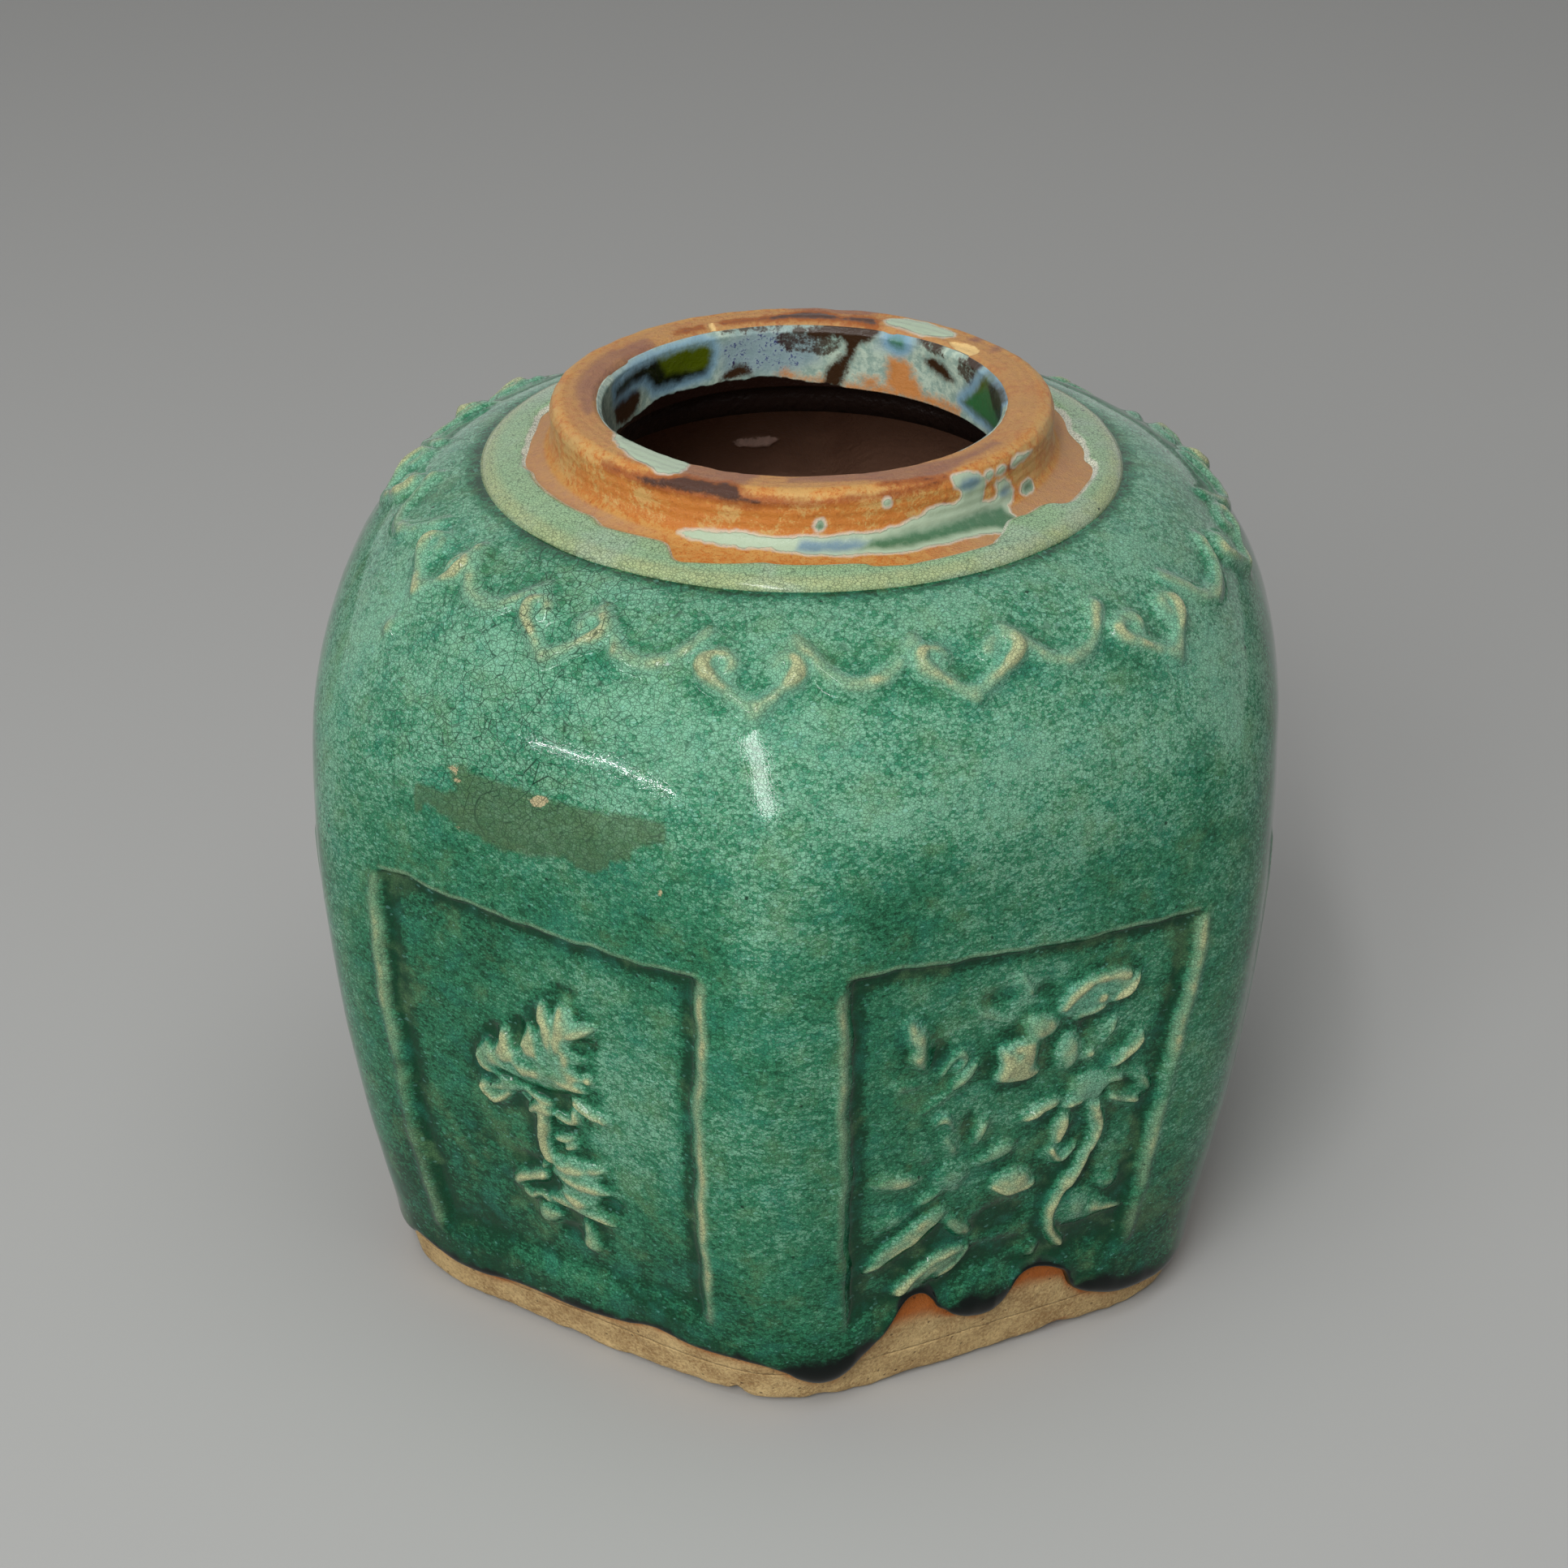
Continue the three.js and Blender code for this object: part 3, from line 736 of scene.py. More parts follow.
# Where the glaze gathered deep beside the carving, as (across, height, half-sizes)
LEAF_HOLLOWS = (
    oval(-16.5, 78.6, 2.0, 3.4), oval(-5, 87.8, 4, 2.4), oval(4.5, 87.2, 2.2, 2),
    oval(13.7, 76.8, 1.6, 2.8), oval(-0.5, 36, 6.5, 4), oval(-4, 28, 10, 3),
    oval(-9.5, 60.5, 1.5, 3.5), oval(22, 60.5, 3.5, 1.5), oval(18, 43, 2, 5),
)
BLOSSOM_HOLLOWS = (
    oval(-3.6, 75.8, 1.5, 2), oval(-9.6, 72.4, 2, 2), oval(1.2, 66, 3, 1), oval(12, 77.2, 2, 1.4),
    oval(13.9, 40.4, 2.4, 1.8), oval(-5.6, 44, 4, 1.5), oval(4.2, 56.6, 2.6, 1.4),
    oval(7.4, 87.2, 3, 1.1), oval(-11, 63.4, 2, 1), oval(3, 29.5, 3, 2),
)

# One half of a heart of the shoulder's border, from its tip to its curl, as shares of the
# half's width and of the heart's height
HEART_HALF = (
    (0, 0), (0.25, 0.17), (0.54, 0.36), (0.82, 0.53), (1, 0.7), (1, 0.87), (0.8, 0.99),
    (0.57, 0.95), (0.45, 0.81), (0.54, 0.7),
)
HEART_HEIGHT = 9.4

# A swag between two hearts, in millimetres from its lowest point
SWAG = (
    (-10, 8), (-7.7, 5.3), (-5.6, 2.6), (-3.2, 0.7), (0.2, 0), (3.6, 0.7), (6.2, 2.5), (8.2, 4.6),
    (9.8, 7),
)


@dataclass(frozen=True)
class Panel:
    """A recessed panel, by the run of its four edges.

    The sides are given as (height, across), the top and bottom as (across, height). The
    last two say how bare each side's ridge is, as (height, share).
    """

    left: tuple[Point, ...]
    right: tuple[Point, ...]
    top: tuple[Point, ...]
    bottom: tuple[Point, ...]
    left_bare: tuple[Point, ...]
    right_bare: tuple[Point, ...]
    spray: Spray
    mirrored: bool = False

    def distances(self, across: np.ndarray, up: np.ndarray) -> tuple[np.ndarray, ...]:
        """How far a place lies inside the edges, each a broken line swayed by two sines.

        Args:
            across: Millimetres to the right of the face's middle.
            up: Millimetres above the foot.

        Returns:
            The distance from the nearer side, from the top and from the bottom.
        """
        sway = 0.22 * np.sin(up / 4.1) + 0.16 * np.sin(up / 1.7)
        dip = 0.15 * np.sin(across / 2.3) + 0.1 * np.sin(across / 1.1)
        left = np.interp(up, *zip(*self.left)) + sway
        right = np.interp(up, *zip(*self.right)) + sway
        top = np.interp(across, *zip(*self.top)) + dip
        bottom = np.interp(across, *zip(*self.bottom)) + dip
        return np.minimum(across - left, right - across), top - up, up - bottom

    def bare(self, across: np.ndarray, up: np.ndarray) -> np.ndarray:
        """How bare the ridge beside the panel is."""
        left = np.interp(up, *zip(*self.left_bare))
        return np.where(across < 0, left, np.interp(up, *zip(*self.right_bare)))


RIGHT_PANEL = Panel(
    left=((20, -30.8), (27, -31.8), (38, -33), (50, -33.7), (62, -34.4), (75, -35.2),
          (88, -35.6), (97, -35.8)),
    right=((22, 27.6), (30, 28.3), (37, 29), (44, 29.7), (51, 30.3), (58, 30.9), (65, 31.9),
           (71, 32.7), (78, 33.8), (86, 35.1), (95, 36.1)),
    top=((-36, 100.2), (-27, 100.2), (-20, 99.5), (-15, 98.9), (-5, 98.3), (0, 97.7),
         (10, 96.8), (20, 96.5), (27, 96.2), (36, 95.7)),
    bottom=((-31, 20), (28, 21)),
    left_bare=((20, 0), (30, 0.1), (45, 0.25), (60, 0.35), (70, 0.55), (96, 0.7), (99, 0)),
    right_bare=((22, 0.2), (26, 0.4), (33, 0.2), (38, 0.55), (52, 0.7), (56, 0.2), (62, 0.25),
                (66, 0.9), (93, 1), (96, 0.1)),
    spray=Spray.LEAVES,
)
LEFT_PANEL = Panel(
    left=((20, -29), (28, -30.4), (40, -31.8), (50, -32.1), (62, -32.7), (70, -33.4),
          (80, -33.8), (90, -33.6), (99, -32.8)),
    right=((22, 32.3), (30, 32.6), (38, 33.1), (47, 33.6), (55, 34.2), (65, 34.8), (75, 35.4),
           (80, 36.2), (88, 36.7), (98, 37.1)),
    top=((-34, 100.2), (-29, 100.8), (-25, 100.9), (-20, 100), (-10, 99.7), (0, 99.4),
         (10, 99.2), (15, 99.6), (20, 99.2), (30, 99.6), (37, 99.9)),
    bottom=((-30, 18.2), (-15, 18.8), (0, 19.6), (20, 20.4), (35, 20.7)),
    left_bare=((20, 0.35), (30, 0.35), (45, 0.25), (58, 0.3), (66, 0.85), (88, 0.8), (93, 0.4),
               (98, 0.45), (101, 0)),
    right_bare=((20, 0.5), (35, 0.8), (50, 1), (75, 0.8), (97, 1), (100, 0.4)),
    spray=Spray.BLOSSOM,
)
EVEN_PANEL = Panel(
    left=((21, -30.6), (50, -32.8), (99, -35.2)),
    right=((21, 30.4), (50, 32.4), (99, 35.4)),
    top=((-35, 99.8), (-10, 99.3), (12, 99.6), (35, 98.9)),
    bottom=((-31, 20), (31, 20.6)),
    left_bare=((20, 0.1), (45, 0.5), (70, 0.3), (98, 0.7), (101, 0)),
    right_bare=((20, 0.3), (40, 0.6), (60, 0.4), (80, 0.9), (98, 0.6), (101, 0)),
    spray=Spray.LEAVES,
    mirrored=True,
)
EVEN_BLOSSOM = replace(EVEN_PANEL, spray=Spray.BLOSSOM)
PANELS = (RIGHT_PANEL, EVEN_BLOSSOM, EVEN_PANEL, LEFT_PANEL, RIGHT_PANEL, LEFT_PANEL)
FACE_MIDDLES = (30.0, 90.0, 150.0, 210.0, 270.0, 330.0)


@dataclass
class Relief:
    """Height and tint maps of the glazed skin, on even steps of angle and arc.

    Glaze drains off what stands up and gathers in what lies low, so the thin and pool maps
    follow the relief less its own blur.
    """

    form: JarForm
    noise: Noise
    angle_step: float = 0.2
    arc_step: float = 0.3
    panel_arcs: Point = (8.0, 112.0)
    panel_depth: float = 1.8
    hollow_depth: float = 0.5
    border_arc: float = 130.0
    crest_blur: float = 0.35
    swell_blur: float = 1.3
    drain_blur: float = 2.4
    hearts: tuple[tuple[float, float, float, float], ...] = (
        (-57.2, 150.7, 7.4, 6.6), (-31.1, 150.0, 6.8, 9.2), (-2.4, 146.8, 9.0, 6.9),
        (24.6, 146.9, 7.7, 9.8), (54.8, 143.4, 9.5, 6.5), (85, 142.5, 8, 8.4),
        (115, 143, 8.6, 7.6), (146, 144.5, 7.8, 8.2), (177, 146, 8.2, 8.8), (208, 147.5, 8, 7.4),
        (239, 149, 8.4, 8), (270, 150, 7.6, 8.4),
    )

    def __post_init__(self) -> None:
        """Works the maps out.

        The height is the sunken panels, hardly blurred, plus the raised marks twice: as sharp
        crests and as broad swells.
        """
        self.angles = np.arange(0, 360, self.angle_step)
        self.arcs = np.arange(0, self.form.seat_arc + 1, self.arc_step)
        self.angle_map, self.arc_map = np.meshgrid(self.angles, self.arcs)
        self.height = np.zeros_like(self.angle_map)
        self.ridge = np.zeros_like(self.angle_map)
        self.gutter = np.zeros_like(self.angle_map)
        self.raised = np.zeros_like(self.angle_map)
        for middle, panel in zip(FACE_MIDDLES, PANELS):
            self._press_panel(middle, panel)
        self._press_border()
        self._press_seams()
        place = self.form.skin(self.angle_map, self.arc_map, 0)
        self.raised *= 1 + 0.3 * self.noise.at(place, 2.6) + 0.15 * self.noise.at(place, 1.2)
        crest = self._blurred(self.raised, self.crest_blur)
        swell = self._blurred(self.raised, self.swell_blur)
        self.height = self._blurred(self.height, self.crest_blur) + 0.9 * crest + 1.2 * swell
        drained = self.height - self._blurred(self.height, self.drain_blur)
        patchy = 1 + 0.4 * self.noise.at(place, 4.5) + 0.25 * self.noise.at(place, 1.6)
        self.thin = smooth(crest * patchy, 0.2, 1.35) * smooth(drained, 0.05, 0.5)
        self.thin = np.maximum(self.thin, self.ridge * np.clip(patchy, 0.4, 1.2))
        self.pale = smooth(swell, 0.12, 0.75)
        # The glaze ran off the sloping shoulder, so less of it stands beside the border
        stays = 1 - 0.55 * smooth(self.arc_map, 114, 126)
        self.pool = np.maximum(smooth(-drained, 0.04, 0.5) * stays, self.gutter)

    def _press_panel(self, middle: float, panel: Panel) -> None:
        """Sinks one panel into the face at an angle and raises its spray.

        Args:
            middle: The angle of the face's middle.
            panel: The panel's edges and spray.
        """
        away = half_turn(self.angle_map, middle)
        rows = (self.arcs > self.panel_arcs[0]) & (self.arcs < self.panel_arcs[1])
        columns = np.abs(away[0]) < 29.9
        block = np.ix_(rows, columns)
        up = self.form.height_at(self.arc_map[block])
        across = self.form.look_up(self.arc_map[block], 1) * np.tan(np.radians(away[block]))
        sides, top, bottom = panel.distances(across, up)
        inside = np.minimum(np.minimum(sides, top), bottom)
        floor = smooth(sides, -0.7, 1.5) * smooth(top, -0.2, 0.9) * smooth(bottom, -3, 4)
        within = smooth(np.minimum(top, bottom), -1.5, 1.5)
        bead_up = 0.45 * bell(sides, -1.1, 1.3) * within
        raised = np.zeros_like(across)
        leafy = panel.spray is Spray.LEAVES
        side = -across if panel.mirrored else across
        for shape in LEAF_SPRAY if leafy else BLOSSOM_SPRAY:
            shape.press(side, up, raised)
        hollows = LEAF_HOLLOWS if leafy else BLOSSOM_HOLLOWS
        deep = np.max([smooth(hollow.depth(side, up), -1.2, 1.6) for hollow in hollows], axis=0)
        deep = deep * (raised < 0.4)
        self.height[block] += bead_up - self.panel_depth * floor - self.hollow_depth * deep
        rim = bell(sides, -0.9, 1.0) * within * panel.bare(across, up)
        # Pooled glaze and painted shadow: a dark line just inside the panel's top edge
        lip = bell(top, 0.5, 0.8) * smooth(inside, -1.5, 0.5)
        rim = np.maximum(rim, 0.42 * bell(top, -0.7, 0.45) * smooth(sides, -1, 1))
        # Pooled glaze and painted shadow: dark bands just inside the panel's sides
        channel = bell(sides, 2.2, 1.4) * smooth(inside, 0, 2) * 0.8
        self.ridge[block] = np.maximum(self.ridge[block], rim)
        self.gutter[block] = np.maximum(np.maximum(lip, channel), 0.8 * deep)
        self.raised[block] = raised

    def _press_border(self) -> None:
        """Raises the hearts and swags of the shoulder's border.

        Each heart is its angle, the arc of its tip and the width of its two halves.
        """
        rows = (self.arcs > self.border_arc) & (self.arcs < self.form.seat_arc)
        count = len(self.hearts)
        raised = np.zeros_like(self.height[rows])
        for index, (turn, tip, *widths) in enumerate(self.hearts):
            after = self.hearts[(index + 1) % count]
            gap = (after[0] - turn) % 360
            across, up = self._local(rows, turn, tip)
            for width in (-widths[0], widths[1]):
                points = tuple((width * x, HEART_HEIGHT * y) for x, y in HEART_HALF)
                line(1.4, 0.85, *points).press(across, up, raised)
                leaf(1.7, 1.35, *points[2:7]).press(across, up, raised)
            bead(1.5, 1.0, (0, 0.8)).press(across, up, raised)
            across, up = self._local(rows, turn + gap / 2 - 0.7, (tip + after[1]) / 2 + 4.4)
            line(1.5, 0.85, *SWAG).press(across, up, raised)
        bead(1.1, 1.3, (0, 0)).press(*self._local(rows, -21.3, 154.0), raised)
        bead(1.6, 0.9, (0, 0)).press(*self._local(rows, -57.3, 143.4), raised)
        self.raised[rows] = raised

    def _local(self, rows: np.ndarray, turn: float, arc: float) -> tuple[np.ndarray, np.ndarray]:
        """Places on some rows, in millimetres from a spot.

        Args:
            rows: Which rows are meant.
            turn: The spot's angle.
            arc: The spot's arc.

        Returns:
            How far each place lies to the right of the spot, and how far up from it.
        """
        away = half_turn(self.angle_map[rows], turn)
        radius = self.form.look_up(self.arc_map[rows], 1)
        return np.radians(away) * radius, self.arc_map[rows] - arc

    def _press_seams(self) -> None:
        """Leaves the low ridge of the mould down the front and back corners."""
        for seam in (0.0, 180.0):
            away = half_turn(self.angle_map, seam)
            wander = 0.35 * np.sin(self.arc_map / 11.0) + 0.2 * np.sin(self.arc_map / 4.3)
            ridge = 0.3 * bell(away, wander, 0.55) + 0.12 * bell(away, wander - 0.9, 1.6)
            self.height += ridge * smooth(self.arc_map, 6, 12) * fall(self.arc_map, 118, 131)

    def _blurred(self, field_map: np.ndarray, radius: float) -> np.ndarray:
        """Blurs a map with a Gaussian, by way of its Fourier transform.

        Args:
            field_map: The map, whose columns close on themselves.
            radius: The blur's radius in millimetres.

        Returns:
            The blurred map.
        """
        pad = 40
        padded = np.pad(field_map, ((pad, pad), (0, 0)), mode="edge")
        column_step = math.radians(self.angle_step) * self.form.belly_apothem
        up = np.fft.fftfreq(padded.shape[0], self.arc_step)[:, None]
        round_ = np.fft.rfftfreq(padded.shape[1], column_step)[None, :]
        gain = np.exp(-2 * (np.pi * radius) ** 2 * (up**2 + round_**2))
        back = np.fft.irfft2(np.fft.rfft2(padded) * gain, padded.shape)
        return back[pad:-pad]

    def read(self, field_map: np.ndarray, angle: np.ndarray, arc: np.ndarray) -> np.ndarray:
        """Reads a map between its steps, with a blend of its four nearest places.

        Args:
            field_map: The map.
            angle: Degrees from the front seam.
            arc: Millimetres along the outline.

        Returns:
            The map's value at each place.
        """
        column = (angle % 360) / self.angle_step
        row = np.clip(arc / self.arc_step, 0, len(self.arcs) - 1.001)
        left, low = np.floor(column).astype(int), np.floor(row).astype(int)
        across, up = column - left, row - low
        count = len(self.angles)
        right, left = (left + 1) % count, left % count
        lower = field_map[low, left] * (1 - across) + field_map[low, right] * across
        upper = field_map[low + 1, left] * (1 - across) + field_map[low + 1, right] * across
        return lower * (1 - up) + upper * up


# Where the green glaze stopped running: (angle, arc above the foot)
LOWER_EDGE = (
    (-60, 9.5), (-57, 10.8), (-55, 10.5), (-52, 9.2), (-49, 8.5), (-45, 8.7), (-42, 9.5),
    (-38, 10.1), (-30, 9.9), (-25, 10.6), (-22, 11.2), (-20, 11.8), (-18, 12.8), (-16, 13.3),
    (-14, 13.0), (-12, 12.4), (-10, 12.1), (-5, 12.1), (-3, 11.8), (-1, 11.2), (1.5, 9.6),
    (3, 7.9), (5, 6.3), (6.5, 5.9), (8, 6.3), (9.5, 7.9), (11, 10.5), (12.5, 12.6), (14, 14.8),
    (15, 17.4), (16, 20.6), (17, 22.8), (18.2, 23.5), (19.5, 22.9), (20.8, 20.6), (21.6, 18.4),
    (22.8, 16.9), (24, 15.2), (25.5, 13.9), (27, 13.2), (28.5, 12.9), (30, 13.3), (31.5, 14.7),
    (32.5, 16.5), (33.1, 18.5), (33.9, 20.2), (35, 21.1), (36.3, 21.2), (38, 20.4), (39.5, 19.2),
    (41, 17.6), (41.8, 15.6), (42.5, 13.4), (43.5, 11.6), (45, 10.0), (46.5, 8.9), (48.5, 7.6),
    (50, 6.9), (52, 6.5), (55, 6.3), (57, 6.2), (60, 6.6), (65, 8), (75, 10), (85, 12.5),
    (92, 8.5), (98, 7), (105, 11), (115, 13), (128, 9.5), (135, 8), (142, 10.5), (155, 12),
    (163, 10), (170, 7.5), (180, 9), (195, 12), (205, 10.5), (215, 13.5), (222, 11), (230, 7.8),
    (238, 9.5), (255, 11.5), (270, 10), (285, 8.2),
)

# Where the green glaze ends on the flange: (angle, arc beyond the flange's seat)
UPPER_EDGE = (
    (-105, 9), (-100, 9.6), (-95, 10.2), (-90, 10.1), (-85, 10), (-80, 9.4), (-76, 9.2),
    (-72, 10), (-68, 9.8), (-60, 10.2), (-52, 10.6), (-48, 10.9), (-45, 11.1), (-42, 10.4),
    (-40, 10), (-35, 10.4), (-30, 10.8), (-26, 10.8), (-24, 10), (-22.5, 8.4), (-21, 6.7),
    (-19, 6.1), (-16, 6.6), (-12, 7.2), (-8, 7.9), (-4, 8.6), (-1, 8.3), (3, 8.2), (8, 8.2),
    (12, 8.2), (15, 7.8), (16.5, 6.9), (20, 6.4), (23, 6.1), (26, 6.3), (30, 6.4), (36, 6.5),
    (41, 6.5), (43, 7.2), (45.5, 8.2), (47.5, 9.6), (50, 10.6), (52.5, 10.6), (55, 10.1),
    (60, 10.1), (62, 9.5), (63.5, 8), (66, 6.9), (70, 6.6), (75, 6.5), (80, 6.2), (84, 6.4),
    (86, 7.2), (87.5, 8.2), (92, 8.2), (95, 8.6), (98, 9.5), (103, 10), (115, 8.6), (130, 10.2),
    (150, 9.2), (170, 10.4), (190, 9), (210, 10.6), (230, 9.4), (245, 10.2),
)


@dataclass(frozen=True)
class Paint:
    """Areas that share a colour. Soft ones fade over some millimetres on either side."""

    areas: tuple[Patch, ...]
    fade: float
    per_degree: float

    def read(self, angle: np.ndarray, station: np.ndarray, ragged: np.ndarray) -> np.ndarray:
        """The depth inside the areas, or for soft paint the share of the colour.

        Args:
            angle: The angle of each place.
            station: Its distance beyond the flange's seat.
            ragged: Noise in millimetres that frays the edges.

        Returns:
            One number for each place.
        """
        found = [area.depth(angle, station, self.per_degree) for area in self.areas]
        depth = np.max(found, axis=0) + ragged
        return smooth(depth, -self.fade, self.fade) if self.fade else np.clip(depth, -3, 3)


def collar_paint(*areas: Patch, fade: float = 0.0) -> Paint:
    """Paint on the outside of the neck."""
    return Paint(areas, fade, COLLAR_DEGREE)


def mouth_paint(*areas: Patch, fade: float = 0.0) -> Paint:
    """Paint on the inside of the neck."""
    return Paint(areas, fade, MOUTH_DEGREE)


# The mark that a lost paper label left on the shoulder, as (angle, arc)
LABEL_SCAR = patch(
    (-44.3, 122.2), (-41.5, 122.5), (-40.5, 121.8), (-39, 122.5), (-38.2, 123.5),
    (-39.3, 124.8), (-39.8, 126), (-40.8, 127.7), (-38, 127.8), (-36, 127.5), (-34.5, 127.7),
    (-33, 127.2), (-31.3, 127.6), (-29.5, 127.9), (-28, 127.3), (-25.5, 127.3), (-24, 127),
    (-23, 127.5), (-20.5, 127), (-18.5, 127.8), (-15.5, 128.2), (-11.3, 128.1), (-11, 125),
    (-13.5, 123.8), (-15, 122.5), (-15, 120.3), (-17.8, 119.6), (-17.8, 118.3),
    (-19.3, 116.3), (-21.5, 115.9), (-23.3, 117.2), (-25, 117), (-28, 115.6), (-32, 114.6),
    (-34.5, 115.4), (-36, 116.6), (-37, 115.9), (-38.5, 115.8), (-38.7, 117), (-41.5, 118.5),
    (-43, 118.8), (-43, 117), (-44.2, 116.5),
)
LABEL_FLAKES = (
    oval(-39.3, 127.2, 0.9, 0.7), oval(-38.3, 125.2, 0.5, 0.4), oval(-27, 126.2, 0.5, 0.5),
    patch((-29.6, 126.2), (-28, 125.3), (-26.8, 126), (-25.7, 127.3), (-26.4, 127), (-28, 125.9)),
    oval(-23.8, 127.4, 0.9, 0.5), oval(-38, 116.2, 0.6, 0.5), oval(-11.5, 116.2, 0.3, 0.9),
)

# A crumb of clay that fell on the chamber's wall and stuck there
CLAY_CRUMB = patch(
    (186.5, 130.5), (188.5, 131.6), (191.5, 131.2), (193.6, 130.2), (192.8, 128.9),
    (190, 128.2), (187.5, 129),
)

# Everything that marks the collar's clay, as (angle, station beyond the flange's seat)
COLLAR_PAINT = {
    "glaze": collar_paint(
        patch(
            (-24, 13.5), (-20, 13), (-14, 12.7), (-8, 12.5), (-3, 12.5), (0, 12.2), (5, 11.5),
            (9, 11), (13, 10.9), (17, 10.5), (22, 10.1), (30, 10.2), (38, 10.1), (43, 9.4),
            (46, 8), (47, 6), (53, 6), (52.5, 10), (53, 12), (54, 13.4), (56, 14), (57, 15.5),
            (56, 17), (54, 18.5), (51.5, 18.5), (51.5, 16), (49, 15.5), (46.8, 16), (47.2, 18),
            (47.2, 20.3), (45.2, 21.8), (42, 22.5), (38.6, 22.3), (38.6, 20.5), (40, 19.4),
            (40, 18.2), (38, 17.4), (35, 18), (32, 17.6), (29.5, 16.3), (26, 15.6), (20, 15.2),
            (14, 15), (8, 15), (2, 14.7), (-5, 14.9), (-12, 15), (-18, 14.7),
        ),
        patch(
            (-62, 31.2), (-58, 32.2), (-50, 33.2), (-40, 34), (-33, 33.5), (-30, 32),
            (-27.5, 30), (-26.8, 28), (-26.6, 26), (-28, 24.4), (-31, 24), (-36, 25),
            (-40, 25.4), (-44, 26.2), (-48, 27), (-52, 28.5), (-57, 30),
        ),
        oval(7.2, 16.8, 1.1, 0.9), oval(21.6, 20.3, 0.8, 0.7), oval(48.7, 20.8, 1.4, 0.8),
        oval(52.8, 20.5, 1.6, 0.8), oval(62.6, 14.5, 2.6, 1.1), oval(61.5, 20.6, 4.6, 0.6),
        oval(150, 27.5, 11, 2.6),
    ),
    "green": collar_paint(
        patch(
            (15, 11.8), (22, 11.3), (32, 11.2), (42, 11.2), (46, 10), (48, 7), (52, 7),
            (52.3, 12), (52, 14), (46, 14.6), (36, 14.3), (26, 14), (18, 13.8),
        ),
        oval(-49.5, 30.7, 4.5, 0.7), oval(7.2, 16.8, 0.8, 0.7), oval(62.6, 14.5, 1.6, 0.7),
        fade=1.1,
    ),
    "blue": collar_paint(
        patch((2, 12.2), (9, 11.8), (16, 11.8), (18, 13.6), (10, 14.2), (3, 14)),
        oval(42.5, 20.3, 3.4, 1.2), oval(54, 16, 2, 1), oval(-45.5, 10.8, 3, 0.5),
        fade=0.9,
    ),
    "stain": collar_paint(
        patch(
            (-46, 21.6), (-40, 22.2), (-35, 22.6), (-30, 22.9), (-27, 23.6), (-24, 25),
            (-20, 24.8), (-17, 24.3), (-14, 25), (-11, 24.2), (-9.5, 22.8), (-5, 21.8),
            (0, 21.4), (5, 21.6), (5, 21), (0, 20.6), (-8, 19.9), (-12, 20.2), (-16, 20.9),
            (-22, 20.8), (-28, 20.6), (-34, 20.8), (-40, 21),
        ),
        patch((5, 21.2), (13, 21.4), (25, 21.4), (35, 22.3), (37, 23), (30, 22.3), (13, 22)),
        patch((20, 23.8), (28, 23.2), (37, 22.8), (37, 23.2), (30, 24.2), (22, 24.6)),
        patch((-34, 32.2), (-24, 31.3), (-10, 31.6), (-10, 32.3), (-24, 32.2), (-34, 33)),
        patch((0, 31.2), (20, 31), (40, 31.4), (50, 32), (40, 31.9), (20, 31.6), (0, 31.7)),
        patch(
            (161, 30.5), (162, 27), (167, 26.8), (172, 28), (177, 26.2), (183, 25.9),
            (188, 27.4), (196, 28.4), (206, 28.6), (206, 29.4), (190, 29.8), (175, 30.2),
        ),
        patch((212, 28.6), (218, 28.8), (222, 29.3), (222, 30), (212, 29.7)),
        patch((163, 18.5), (190, 18.5), (196, 20.2), (184, 21.6), (172, 20.8), (163, 20.6)),
        oval(56.3, 20.2, 0.9, 0.5), oval(36, 17.9, 0.4, 0.5),
    ),
    "mauve": collar_paint(
        patch(
            (-130, 27.5), (-100, 26.5), (-85, 27.2), (-72, 28.5), (-75, 30), (-85, 31.4),
            (-105, 32), (-130, 31.5),
        ),
        patch(
            (-27, 25), (-18, 24.6), (-10, 25.4), (-9.5, 27.5), (-8, 30), (-8, 31.5),
            (-27, 31.5),
        ),
        patch(
            (0, 27), (6, 27.2), (18, 26), (26, 24), (36, 23.4), (44, 26), (60, 26.2), (60, 28),
            (44, 28.2), (34, 30.4), (20, 31.5), (6, 31), (0, 29),
        ),
        patch(
            (123, 28), (124.5, 24), (127, 21.5), (131, 19.6), (132.4, 20), (128, 22.5),
            (125.5, 26),
        ),
        patch((131.5, 26.5), (133, 22), (134.6, 22), (134.6, 26.5)),
        patch((165, 20), (185, 20), (187, 25), (180, 26), (168, 27), (163, 24)),
        fade=1.0,
    ),
    "chip": collar_paint(
        patch(
            (125, 30), (126, 29), (128.5, 28), (132, 27.7), (136, 28.3), (138, 29.5),
            (136, 30.5), (132, 31.6), (130, 31.9), (127, 31.2),
        ),
        patch((208.5, 28), (210.2, 28.2), (210.8, 31), (209, 31.2)),
    ),
}

